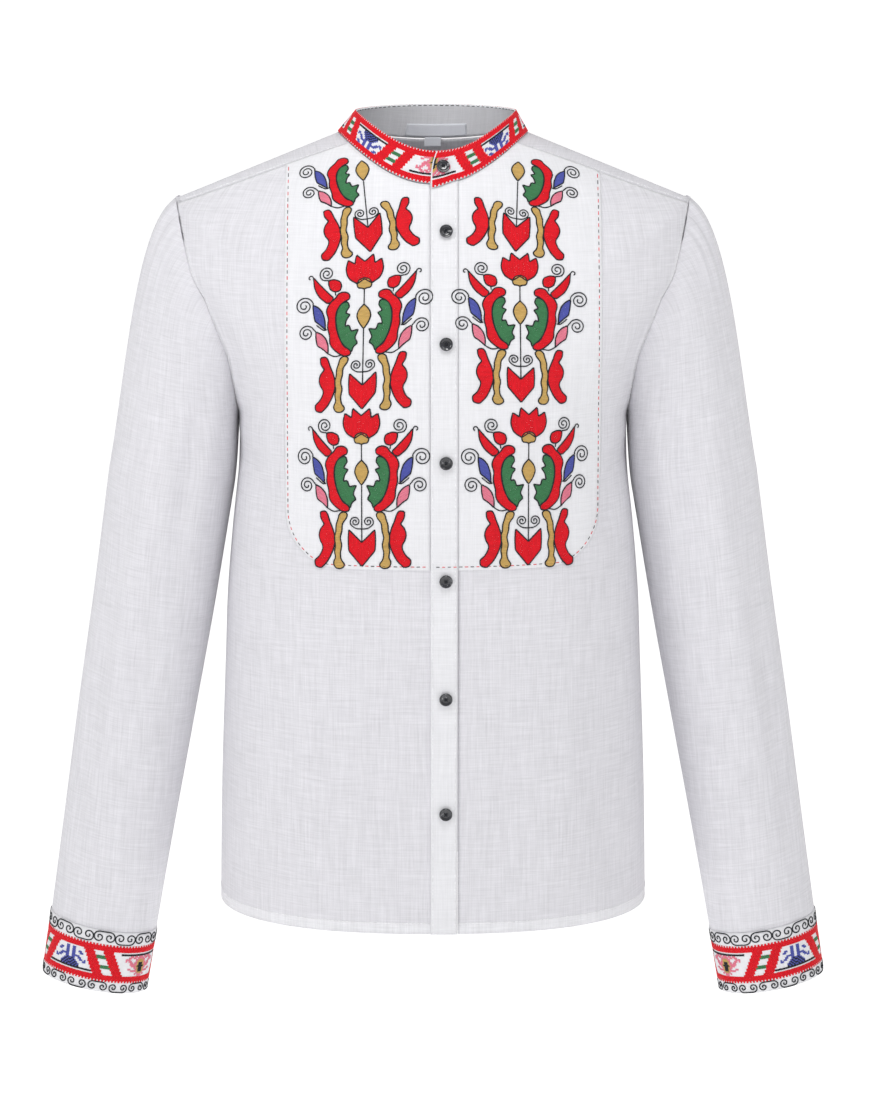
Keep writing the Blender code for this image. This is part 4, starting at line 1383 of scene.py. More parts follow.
@dataclass
class PathChart:
    """A chart along one line on the cloth, by distance along it."""

    points: Points
    out: Points

    def place(self, places: Points, lift: Points) -> tuple[Points, Points]:
        """Points and outward directions at distances along the line."""
        run = lengths(self.points)
        spot, out = (
            np.stack([np.interp(places[:, 0], run, values[:, n]) for n in range(3)], axis=-1)
            for values in (self.points, self.out)
        )
        out = unit(out)
        return spot + out * lift[:, None], out


@dataclass
class ChestChart:
    """The front's surface by height and distance out, with lengths measured along the cloth."""

    side: Side
    step: float = 2.0
    lowest: float = -366.0
    widest: float = 152.0

    def __post_init__(self) -> None:
        """Reads the front's depth over an even grid of heights and distances out."""
        self.zs = np.arange(self.lowest, 2.0, self.step)
        self.xs = np.arange(0.0, self.widest, self.step)
        columns = []
        for station in np.linspace(0.6, 3.0, 121):
            ring = FORM.ring(Face.FRONT, station)
            angles = np.array([ring.angle_at(x) for x in self.xs])
            columns.append(FORM.points(Face.FRONT, station, self.side.value * angles))
        grid = np.array(columns)
        depth = np.array([np.interp(self.zs, grid[:, j, 2], grid[:, j, 1]) for j in range(len(self.xs))]).T
        self.depth = depth
        steps = np.hypot(np.diff(depth, axis=1), self.step)
        self.across = np.concatenate([np.zeros((len(self.zs), 1)), np.cumsum(steps, axis=1)], axis=1)
        x, z = np.meshgrid(self.xs, self.zs)
        points = np.stack([self.side.value * x, depth, z], axis=-1)
        slope_z, slope_x = np.gradient(depth, self.step)
        out = unit(np.stack([self.side.value * slope_x, -np.ones_like(x), slope_z], axis=-1))
        self.sheet = Sheet(points, out)
        self.top = np.array([self.top_at(x) for x in self.xs])

    def top_at(self, x: float) -> float:
        """Height of the panel's top edge, this far out."""
        neck = FORM.ring(Face.FRONT, 3.0)
        corner = neck.points(Face.FRONT, np.array([neck.end]))[0][0]
        station = 3.0 if x <= corner else FORM.seam_station(x)
        ring = FORM.ring(Face.FRONT, station)
        return float(ring.points(Face.FRONT, np.array([ring.angle_at(x)]))[0][2])

    def read(self, table: Points, z: Points, x: Points) -> Points:
        """A table's values between its points."""
        return between(table, (z - self.lowest) / self.step, x / self.step)

    def unroll(self, axis: float, foot: float, places: Points) -> Points:
        """Distances out and heights of places measured along the cloth from a foot on an upright axis.

        Args:
            axis: How far out the axis is.
            foot: The foot's height.
            places: Distances outwards and upwards along the cloth.

        Returns:
            x and z of each.
        """
        column = self.read(self.depth, self.zs, np.full(len(self.zs), axis))
        up = np.concatenate([[0], np.cumsum(np.hypot(np.diff(column), self.step))])
        z = np.interp(np.interp(foot, self.zs, up) + places[:, 1], up, self.zs)
        target = self.read(self.across, z, np.full(len(z), axis)) + places[:, 0]
        x = axis + places[:, 0]
        for _ in range(6):
            x = x + (target - self.read(self.across, z, x)) / 1.1
        return np.stack([x, z], axis=-1)

    def place(self, places: Points, lift: Points) -> tuple[Points, Points]:
        """Points and outward directions at distances out and heights."""
        x, z = places[:, 0], places[:, 1]
        over = WALL.placket_lift + WALL.placket / 2 - WALL.panel_lift - WALL.panel / 2
        signed = self.side.value * x
        lift = lift + np.where((signed > -2.0) & (signed < 21.0), over, 0.0)
        lift = lift + WALL.panel_lift + WALL.panel / 2
        return self.sheet.at((z - self.lowest) / self.step, x / self.step, lift)


Chart = StraightChart | PathChart | ChestChart


def thread_tree() -> bpy.types.NodeTree:
    """Lays a stitch along every point of a mesh, by the point attributes along, outward and size."""
    tree = bpy.data.node_groups.new("sewn stitches", "GeometryNodeTree")
    face = tree.interface
    face.new_socket("Geometry", in_out="INPUT", socket_type="NodeSocketGeometry")
    face.new_socket("Stitch", in_out="INPUT", socket_type="NodeSocketObject")
    face.new_socket("Thread", in_out="INPUT", socket_type="NodeSocketMaterial")
    slack = face.new_socket("Slack", in_out="INPUT", socket_type="NodeSocketFloat")
    slack.default_value = 0.1
    seed = face.new_socket("Seed", in_out="INPUT", socket_type="NodeSocketInt")
    seed.default_value = 7
    face.new_socket("Geometry", in_out="OUTPUT", socket_type="NodeSocketGeometry")
    make = NodeMaker(tree)
    given = make.add("NodeGroupInput")
    form = make.add("GeometryNodeObjectInfo", {"Object": given.outputs["Stitch"]}, transform_space="ORIGINAL")
    along, outward, size = (
        make.add("GeometryNodeInputNamedAttribute", {"Name": name}, data_type="FLOAT_VECTOR").outputs[0]
        for name in ("along", "outward", "size")
    )
    laid = make.add("FunctionNodeAlignRotationToVector", {"Vector": along}, axis="X")
    turned = make.add(
        "FunctionNodeAlignRotationToVector",
        {"Rotation": laid.outputs[0], "Vector": outward},
        axis="Z",
        pivot_axis="X",
    )
    low = make.math("SUBTRACT", 1.0, given.outputs["Slack"])
    high = make.math("ADD", 1.0, given.outputs["Slack"])
    vary = make.add("FunctionNodeRandomValue", data_type="FLOAT")
    floats = [socket for socket in vary.inputs if socket.type == "VALUE" and socket.name in ("Min", "Max")]
    make.join(low, floats[0])
    make.join(high, floats[1])
    make.join(given.outputs["Seed"], vary.inputs["Seed"])
    scale = make.add("ShaderNodeVectorMath", {0: size}, operation="SCALE")
    make.join(next(s for s in vary.outputs if s.type == "VALUE" and s.enabled), scale.inputs["Scale"])
    laid_out = make.add(
        "GeometryNodeInstanceOnPoints",
        {
            "Points": given.outputs["Geometry"],
            "Instance": form.outputs["Geometry"],
            "Rotation": turned.outputs[0],
            "Scale": scale.outputs[0],
        },
    )
    tone = make.add("FunctionNodeRandomValue", data_type="FLOAT")
    make.join(make.math("ADD", given.outputs["Seed"], 1.0), tone.inputs["Seed"])
    kept = make.add(
        "GeometryNodeStoreNamedAttribute",
        {"Geometry": laid_out.outputs[0], "Name": "tone"},
        data_type="FLOAT",
        domain="INSTANCE",
    )
    make.join(
        next(s for s in tone.outputs if s.type == "VALUE" and s.enabled),
        next(s for s in kept.inputs if s.name == "Value" and s.type == "VALUE" and s.enabled),
    )
    real = make.add("GeometryNodeRealizeInstances", {"Geometry": kept.outputs[0]})
    named = make.add(
        "GeometryNodeSetMaterial", {"Geometry": real.outputs[0], "Material": given.outputs["Thread"]}
    )
    result = make.add("NodeGroupOutput")
    make.join(named.outputs[0], result.inputs[0])
    return tree


@dataclass
class SewingBox:
    """Threads, the form of one stitch and the tree that lays it."""

    # Section of a thread across its width: share of the width, share of the height
    section: Table = ((-0.5, 0.0), (-0.3, 0.8), (0.3, 0.8), (0.5, 0.0))
    tips: float = 0.43
    seed: int = 7

    def __post_init__(self) -> None:
        """Makes the finishes, the stitch and the tree."""
        self.materials = {finish.thread: finish.material() for finish in THREADS}
        self.tree = thread_tree()
        maker = bmesh.new()
        ends = [maker.verts.new((x, 0, 0.1)) for x in (-0.5, 0.5)]
        rings = [[maker.verts.new((x, y, z)) for y, z in self.section] for x in (-self.tips, self.tips)]
        for n in range(len(self.section) - 1):
            maker.faces.new((ends[0], rings[0][n + 1], rings[0][n]))
            maker.faces.new((ends[1], rings[1][n], rings[1][n + 1]))
            maker.faces.new((rings[0][n], rings[0][n + 1], rings[1][n + 1], rings[1][n]))
        mesh = bpy.data.meshes.new("stitch_form")
        bmesh.ops.recalc_face_normals(maker, faces=maker.faces)
        maker.to_mesh(mesh)
        maker.free()
        mesh.shade_smooth()
        self.stitch = bpy.data.objects.new("stitch_form", mesh)

    def sew(self, name: str, work: Needlework, chart: "Chart", slot: Slot = Slot.BAND) -> None:
        """Turns needlework into pieces, one for each thread.

        Args:
            name: What the pieces' names start with.
            work: The stitches.
            chart: What they are sewn on.
            slot: The material slot for the pieces; not used.
        """
        for thread, stitches in work.stitches.items():
            if stitches:
                self.piece(f"{name}_{thread.value}_thread", stitches, chart, thread, slot)

    def piece(self, name: str, stitches: list[Stitch], chart: "Chart", thread: Thread, slot: Slot) -> None:
        """One thread's stitches as a mesh."""
        lift = np.array([stitch.lift for stitch in stitches])
        starts, _ = chart.place(np.array([stitch.start for stitch in stitches]), lift)
        ends, _ = chart.place(np.array([stitch.end for stitch in stitches]), lift)
        middles = (np.array([s.start for s in stitches]) + np.array([s.end for s in stitches])) / 2
        centres, out = chart.place(middles, lift)
        along = ends - starts
        sizes = np.stack(
            [
                np.linalg.norm(along, axis=1),
                np.array([stitch.width for stitch in stitches]),
                np.array([stitch.height for stitch in stitches]),
            ],
            axis=-1,
        )
        mesh = bpy.data.meshes.new(name)
        mesh.from_pydata((centres * MM).tolist(), [], [])
        for label, values in (("along", along), ("outward", out), ("size", sizes * MM)):
            attribute = mesh.attributes.new(label, "FLOAT_VECTOR", "POINT")
            attribute.data.foreach_set("vector", values.astype(np.float32).ravel())
        points = new_object(f"{name}_points", mesh)
        sewing = points.modifiers.new("sewn", "NODES")
        sewing.node_group = self.tree
        items = self.tree.interface.items_tree
        sockets = {item.name: item.identifier for item in items if item.in_out == "INPUT"}
        sewing[sockets["Stitch"]] = self.stitch
        sewing[sockets["Thread"]] = self.materials[thread]
        sewing[sockets["Seed"]] = self.seed
        graph = bpy.context.evaluated_depsgraph_get()
        sewn = bpy.data.meshes.new_from_object(points.evaluated_get(graph), depsgraph=graph)
        sewn.name = name
        bpy.data.objects.remove(points)
        join_shirt(new_object(name, sewn), slot)
        LOG.info("%s: %d stitches", name, len(stitches))


@dataclass(frozen=True)
class Patch:
    """A filled form of the chest motif, on the outer half or across the axis.

    The outline runs in stretches, each of which is smooth. A form across the axis gives its outer half only,
    from its top to its foot.
    """

    thread: Thread
    stretches: tuple
    angle: float
    across_axis: bool = False

    def outline(self, outer: int) -> Points:
        """The closed outline, on the outer side (1) or mirrored (-1)."""
        if len(self.stretches) == 1 and not self.across_axis:
            half = smooth(self.stretches[0], closed=True)
        else:
            half = np.concatenate([smooth(stretch) for stretch in self.stretches])
        if self.across_axis:
            return np.concatenate([half, half[::-1] * (-1, 1)])
        return half * (outer, 1)


@dataclass(frozen=True)
class Motif:
    """The chest's flowering tree: forms and lines by distance from its axis and height above its flower."""

    foot: float = -109.5
    flower: tuple[Patch, ...] = (
        Patch(
            Thread.RED,
            (
                ((0.0, 19.8), (7.2, 26.0)),
                ((7.2, 26.0), (8.0, 21.5), (8.3, 18.0)),
                ((8.3, 18.0), (14.2, 21.8)),
                ((14.2, 21.8), (15.6, 12.5), (13.0, 5.5), (6.0, 0.5)),
                ((6.0, 0.5), (0.0, 4.5)),
            ),
            90.0,
            across_axis=True,
        ),
        Patch(
            Thread.GOLD, (((0.0, 5.5), (4.4, 3.8), (6.2, 0.0), (4.6, -3.6), (2.2, -3.4), (0.0, -4.9)),), 0.0, True
        ),
        Patch(
            Thread.GOLD,
            (((0.0, -18.0), (4.6, -23.4), (5.9, -28.0)), ((5.9, -28.0), (4.2, -33.0), (0.0, -39.5))),
            0.0,
            True,
        ),
    )
    shield: Patch = Patch(
        Thread.RED,
        (
            ((0.0, -88.7), (11.2, -77.6)), ((11.2, -77.6), (11.6, -87.0), (11.2, -95.8)),
            ((11.2, -95.8), (0.0, -109.5)),
        ),
        90.0,
        across_axis=True,
    )
    crescent: Patch = Patch(
        Thread.RED,
        (
            (
                (12.6, -12.4), (12.4, -8.6), (15.5, -6.4), (21.5, -7.2), (24.2, -11.0), (28.2, -14.6),
                (31.6, -21.5), (30.0, -29.0), (30.4, -36.0), (28.6, -44.0), (28.0, -51.0), (22.0, -58.4),
                (14.5, -62.2), (10.6, -60.8), (10.8, -57.8), (16.0, -54.0), (20.2, -46.0), (22.8, -36.5),
                (23.4, -26.5), (20.4, -17.8), (16.6, -14.4),
            ),
        ),
        8.0,
    )
    leaf: Patch = Patch(
        Thread.GREEN,
        (
            ((12.4, -19.4), (13.6, -15.2), (18.8, -16.2), (22.8, -22.0), (23.8, -30.0), (22.4, -40.0),
             (18.4, -50.0), (9.8, -59.0)),
            ((9.8, -59.0), (8.6, -54.6)), ((8.6, -54.6), (4.8, -51.4)), ((4.8, -51.4), (7.4, -46.8)),
            ((7.4, -46.8), (4.4, -39.6)), ((4.4, -39.6), (10.6, -40.8)), ((10.6, -40.8), (12.2, -35.4)),
            ((12.2, -35.4), (15.8, -36.2)), ((15.8, -36.2), (14.4, -30.4), (11.4, -26.2)),
            ((11.4, -26.2), (15.6, -24.6)), ((15.6, -24.6), (12.4, -19.4)),
        ),
        -20.0,
    )
    sprays: tuple[Patch, ...] = (
        Patch(
            Thread.BLUE,
            (((32.4, -38.0), (33.2, -29.0), (35.2, -22.6)), ((35.2, -22.6), (38.8, -18.4), (43.4, -15.8)),
             ((43.4, -15.8), (42.6, -24.0), (41.4, -30.2)), ((41.4, -30.2), (37.6, -33.2), (32.4, -38.0))),
            35.0,
        ),
        Patch(
            Thread.PINK,
            (((29.8, -59.2), (30.0, -51.6), (31.8, -46.2)), ((31.8, -46.2), (35.4, -42.2), (40.4, -39.6)),
             ((40.4, -39.6), (40.2, -46.0), (39.0, -51.8)), ((39.0, -51.8), (34.8, -54.6), (29.8, -59.2))),
            35.0,
        ),
    )
    buds: tuple[Patch, ...] = (
        Patch(
            Thread.RED,
            (((20.6, 3.4), (25.4, 5.4), (30.4, 5.0)), ((30.4, 5.0), (30.2, 1.0), (28.6, -3.4)),
             ((28.6, -3.4), (24.4, -5.4), (20.4, -4.4)), ((20.4, -4.4), (19.4, -0.4), (20.6, 3.4))),
            0.0,
        ),
        Patch(
            Thread.RED,
            (((26.0, -10.6), (34.4, -2.0), (43.4, 8.2)), ((43.4, 8.2), (41.8, -2.0), (38.4, -8.4), (31.0, -15.2)),
             ((31.0, -15.2), (27.4, -13.8), (26.0, -10.6))),
            -40.0,
        ),
    )
    twig: Patch = Patch(
        Thread.GOLD,
        (
            (
                (13.0, -67.0), (12.4, -64.2), (15.5, -62.4), (18.8, -63.8), (20.6, -69.0), (22.2, -74.0),
                (22.4, -79.0), (23.8, -85.0), (22.8, -91.0), (23.6, -97.0), (22.8, -101.5), (24.6, -106.4),
                (22.6, -110.6), (17.0, -110.8), (15.0, -108.6), (17.8, -103.6), (18.6, -98.0), (17.4, -91.0),
                (18.6, -85.0), (17.2, -78.5), (16.6, -72.5),
            ),
        ),
        0.0,
    )
    wing: Patch = Patch(
        Thread.RED,
        (
            ((29.4, -65.4), (31.4, -62.2), (36.2, -62.6)), ((36.2, -62.6), (35.8, -68.0), (32.6, -73.2)),
            ((32.6, -73.2), (35.8, -77.0), (37.4, -83.0), (36.2, -88.0)),
            ((36.2, -88.0), (34.2, -91.4), (34.0, -94.6)), ((34.0, -94.6), (37.0, -100.4), (41.4, -104.6)),
            ((41.4, -104.6), (40.6, -109.4), (35.6, -111.0)),
            ((35.6, -111.0), (30.4, -105.6), (26.4, -98.5), (23.8, -91.0), (23.4, -84.5), (25.2, -77.0),
             (27.8, -70.5), (29.4, -65.4)),
        ),
        0.0,
    )

    def draw(self, work: "Placed", patch: Patch, sides: tuple[int, ...] = (1, -1)) -> None:
        """Fills and outlines a form, with its mirror image where it lies beside the axis."""
        for outer in (1,) if patch.across_axis else sides:
            outline = patch.outline(outer)
            work.fill(patch.thread, outline, patch.angle * outer)
            work.line(Thread.DARK, np.concatenate([outline, outline[:1]]))

    def scrolls(self, work: "Placed", outer: int, high: bool, wide: bool, low: bool) -> None:
        """The thin spirals and stems on one side: by the flower, by the leaves and above the shield."""
        lines = []
        if wide:
            lines += [
                np.concatenate([[(43.4, -15.8)], spiral((50.8, -16.4), 8.0, 170, -2.1)]),
                smooth([(31.0, -38.0), (33.2, -38.8), (36.6, -36.6), (40.2, -33.6)]),
                np.concatenate([[(40.4, -39.6)], spiral((48.6, -40.4), 7.0, 160, -2.0)]),
                smooth([(18.5, -61.2), (24.5, -62.0), (29.8, -59.2)]),
            ]
        if high:
            lines += [
                np.concatenate([[(30.4, 5.0)], spiral((32.0, 11.0), 6.4, -60, 2.0)]),
                spiral((45.8, 8.0), 2.4, 190, -0.75, 0.6),
                smooth([(24.6, -5.2), (24.2, -8.6)]),
            ]
        if low:
            arm = smooth([(0.0, -77.0), (5.0, -76.6), (9.4, -73.6)])
            lines.append(np.concatenate([arm, spiral((5.6, -70.8), 4.5, -20, 1.7)]))
        for line in lines:
            work.line(Thread.DARK, line * (outer, 1), width=1.0)

    def whole(self, work: "Placed") -> None:
        """A whole tree."""
        for patch in (self.shield, self.twig, self.wing, self.crescent, self.leaf, *self.sprays, *self.buds):
            self.draw(work, patch)
        for stem in (((0.0, -4.9), (0.0, -19.0)), ((0.0, -39.5), (0.0, -88.5))):
            work.line(Thread.DARK, smooth(stem), width=1.0)
        for patch in self.flower:
            self.draw(work, patch)
        for outer in (1, -1):
            self.scrolls(work, outer, True, True, True)

    def upper(self, work: "Placed") -> None:
        """The top tree, which has a bud for a flower and one crescent, on its outer side."""
        low = work.moved(1.0, 0.87, -14.2)
        for patch in (self.twig, self.wing):
            self.draw(low, patch)
        self.draw(work, self.shield)
        work.line(Thread.DARK, smooth(((0.0, -48.0), (0.0, -88.5))), width=1.0)
        self.draw(work.moved(1.0, 0.85, -14.0), self.flower[2])
        for outer in (1, -1):
            self.scrolls(low, outer, False, False, True)
        high = work.moved(0.98, 0.77, -19.9)
        for patch in (self.crescent, self.leaf, *self.sprays):
            self.draw(high, patch, (1,))
        self.scrolls(high, 1, False, True, False)


@dataclass
class Placed:
    """Needlework seen from a motif's own axis: drawn there, sewn on the chest."""

    work: Needlework
    chart: ChestChart
    axis: float
    foot: float
    tilt: float
    lean: float
    wide: float = 1.0
    tall: float = 1.0
    shift: float = 0.0
    margin: float = 2.5

    def moved(self, wide: float, tall: float, shift: float) -> "Placed":
        """The same place, with what is drawn there resized and moved up or down."""
        return replace(self, wide=wide, tall=tall, shift=shift)

    def settle(self, points: Points) -> Points:
        """Distances out and heights of points drawn from the motif's axis."""
        x = points[:, 0] * self.wide
        y = points[:, 1] * self.tall + self.shift - Motif.foot
        places = np.stack([x - self.lean * y, y - self.tilt * x], axis=-1)
        return self.chart.unroll(self.axis, self.foot, places)

    def trim(self, thread: Thread, drawn: Needlework) -> None:
        """Sews what was drawn, leaving out what would lie past the panel's top edge."""
        stitches = drawn.stitches[thread]
        if not stitches:
            return
        starts = self.settle(np.array([s.start for s in stitches]))
        ends = self.settle(np.array([s.end for s in stitches]))
        for stitch, start, end in zip(stitches, starts, ends):
            limit = float(np.interp(start[0], self.chart.xs, self.chart.top)) - self.margin
            if max(start[1], end[1]) < limit:
                self.work.stitches[thread].append(replace(stitch, start=tuple(start), end=tuple(end)))

    def fill(self, thread: Thread, outline: Points, angle: float) -> None:
        """Fills an outline drawn from the motif's axis."""
        drawn = Needlework()
        drawn.fill(thread, outline, angle)
        self.trim(thread, drawn)

    def line(self, thread: Thread, points: Points, width: float = 1.2) -> None:
        """Follows a line drawn from the motif's axis."""
        drawn = Needlework()
        drawn.line(thread, points, width)
        self.trim(thread, drawn)


@dataclass
class ChestEmbroidery:
    """Three trees up each chest panel, and the running stitch that holds the panel."""

    # Rows of trees: foot's height, how far out the axis is, outer side's drop, lean outwards, height
    rows_right: Table = (
        (-352.5, 59.5, 0.04, 0.0, 0.99),
        (-219.0, 59.0, 0.09, -0.02, 0.956),
        (-91.0, 52.0, 0.19, 0.10, 1.0),
    )
    rows_left: Table = (
        (-352.5, 80.0, 0.03, 0.0, 0.99),
        (-214.0, 73.5, 0.045, -0.01, 0.925),
        (-91.0, 69.0, 0.19, 0.035, 1.0),
    )
    edge: float = 3.0
    dash: float = 4.8

    def border(self, side: Side, chart: ChestChart, panels: ChestPanels) -> Points:
        """The running stitch's line: down the outer side, round the corner and to the middle."""
        top = float(np.interp(panels.edges(side)[1], chart.xs, chart.top)) - 2.0
        rises = np.linspace(top - panels.bottom, self.edge, 200)
        line = [(panels.outer_at(side, rise) - self.edge, panels.bottom + rise) for rise in rises]
        inner = 2.6 if side is Side.RIGHT else 0.0
        return np.array([*line, (inner, panels.bottom + self.edge)])

    def work(self, side: Side, chart: ChestChart, panels: ChestPanels) -> Needlework:
        """One panel's needlework."""
        work = Needlework()
        motif = Motif()
        rows = self.rows_right if side is Side.RIGHT else self.rows_left
        for number, (foot, axis, tilt, lean, tall) in enumerate(rows):
            placed = Placed(work, chart, axis, foot, tilt, -lean, 1.0, tall, Motif.foot * (1 - tall))
            if number < 2:
                motif.whole(placed)
            else:
                motif.upper(placed)
        work.dashes((Thread.RED, Thread.DARK), self.border(side, chart, panels), self.dash)
        return work

    def build(self, box: SewingBox, panels: ChestPanels) -> None:
        """Sews both panels."""
        for side in Side:
            chart = ChestChart(side)
            box.sew(f"chest_{side.word}", self.work(side, chart, panels), chart)


@dataclass(frozen=True)
class BandPattern:
    """The counted-thread band of the cuffs and the collar, in cells, from the middle of its first field."""

    cell: float = 1.5
    solid: int = 3
    half_period: float = 64.4
    slant: float = 0.46
    # Borders of the fields by slanted distance from the first field's middle
    bar: float = 16.6
    check: float = 25.4
    second_bar: float = 33.6
    second_field: float = 42.4
    # Half of each field's plant from its middle outwards, from the wide side: a letter for each cell
    first_plant: tuple[str, ...] = (
        "", "dddddddddddddd", "bdbdbd", "dbdbdb", "bdbdb", "dbdb....bb", "bdb...bb.b", ".bb..bb", ".bbbbb",
        ".bb", ".bb...bb", ".bb..bb", ".bb", ".bb", "",
    )
    second_plant: tuple[str, ...] = (
        "", "ddddddddddddd", "p.pp.pp", "pp.pp.pp", "gpp....ppp", "ggp...pp.p", "dgpp.pp", "dgppppp",
        "ddgppp", "dgpp", "dgp...pp", "dgpppp", "gp", "p.p", "p", "",
    )
    letters = {"b": Thread.BLUE, "d": Thread.DARK, "p": Thread.PINK, "g": Thread.GOLD}

    def thread(self, row: int, rows: int, across: float, tooth: bool) -> Thread | None:
        """The thread of one cell.

        Args:
            row: Counted from the first field's wide side.
            rows: How many rows the band has.
            across: Distance from the middle of the nearest first field.
            tooth: Whether a tooth of the edge lies in this column.

        Returns:
            Its thread, or None for bare cloth.
        """
        from_edge = min(row, rows - 1 - row)
        if from_edge == 0:
            return Thread.RED if tooth else None
        if from_edge <= self.solid:
            return Thread.RED
        inside = row - self.solid - 1
        deep = rows - 2 * (self.solid + 1)
        slanted = across + self.slant * self.cell * (inside - (deep - 1) / 2)
        if slanted < self.bar:
            return self.plant(self.first_plant, inside, across)
        if slanted < self.check or self.second_bar <= slanted < self.second_field:
            return Thread.RED
        if slanted < self.second_bar:
            step = inside * 15 / deep
            return Thread.GREEN if 3.5 <= step < 6 or 9.5 <= step < 12 else None
        return self.plant(self.second_plant, deep - 1 - inside, self.half_period - across)

    def plant(self, rows: tuple[str, ...], row: int, across: float) -> Thread | None:
        """The thread of a plant's cell, by its row from the wide side and its distance from the middle."""
        place = int(abs(across) / self.cell)  # cells past a row's last letter are bare cloth
        letters = rows[min(row, len(rows) - 1)]
        return self.letters.get(letters[place]) if place < len(letters) else None


@dataclass
class Topstitching:
    """White stitches along the hem, the placket, the yoke and the armholes."""

    pitch: float = 3.1
    share: float = 0.72
    beside: float = 2.0

    def on_form(self, face: Face, places: Sequence[tuple[float, float]], lift: float) -> PathChart:
        """A line over the body through places given by station and angle."""
        found = [FORM.surface(face, station, np.array([angle])) for station, angle in places]
        points, out = (np.concatenate(parts) for parts in zip(*found))
        return PathChart(points + out * lift, out)

    def paths(self, body: BodyCloth, sleeves: Sleeves, closure: Closure) -> list[PathChart]:
        """Every seam's line."""
        top = WALL.cloth / 2
        hem = body.hem_station
        found = []
        front, back = (FORM.ring(face, hem) for face in Face)
        for start, end in ((closure.right + 0.6, front.end), (closure.left - 0.6, -front.end)):
            angles = np.linspace(front.angle_at(start), end, 120)
            found.append(self.on_form(Face.FRONT, [(hem, angle) for angle in angles], top))
        angles = np.linspace(-back.end, back.end, 200)
        found.append(self.on_form(Face.BACK, [(hem, angle) for angle in angles], top))
        seam = FORM.ring(Face.BACK, 2.0).end
        found.append(self.on_form(Face.BACK, [(2.03, a) for a in np.linspace(-seam, seam, 200)], top))
        over = WALL.placket_lift + WALL.placket / 2
        for x in (closure.left + self.beside, closure.right - self.beside):
            stations = np.linspace(0.003, 2.9, 160)
            places = [(station, FORM.ring(Face.FRONT, station).angle_at(x)) for station in stations]
            found.append(self.on_form(Face.FRONT, places, over))
        for side in Side:
            stations = np.linspace(2.02, 2.96, 60)
            places = [(s, side.value * (FORM.ring(Face.FRONT, s).end + 0.025)) for s in stations]
            found.append(self.on_form(Face.FRONT, places, top))
            loop, out, _ = sleeves.armhole(side)
            along = tangents(loop)
            inwards = -side.value * np.cross(along, out)
            found.append(PathChart(loop + inwards * self.beside + out * top, out))
        return found

    def build(self, box: "SewingBox", body: BodyCloth, sleeves: Sleeves, closure: Closure) -> None:
        """Sews them."""
        for number, chart in enumerate(self.paths(body, sleeves, closure), 1):
            work = Needlework()
            line = np.array([(0.0, 0.0), (lengths(chart.points)[-1], 0.0)])
            work.dashes((Thread.WHITE,), line, self.pitch, self.share)
            box.sew(f"seam_{number}", work, chart, Slot.LINEN)


def scroll(width: float, height: float, up: bool) -> Points:
    """An arch whose two ends roll inwards, centred on 0, standing (up) or hanging."""
    radius = height / 2
    half = width / 4
    left = spiral((-half, height - radius), radius, 90, 1.45, 0.15)[::-1]
    line = np.concatenate([left, left[::-1] * (-1, 1)])
    return line if up else line * (1, -1) + (0, height)


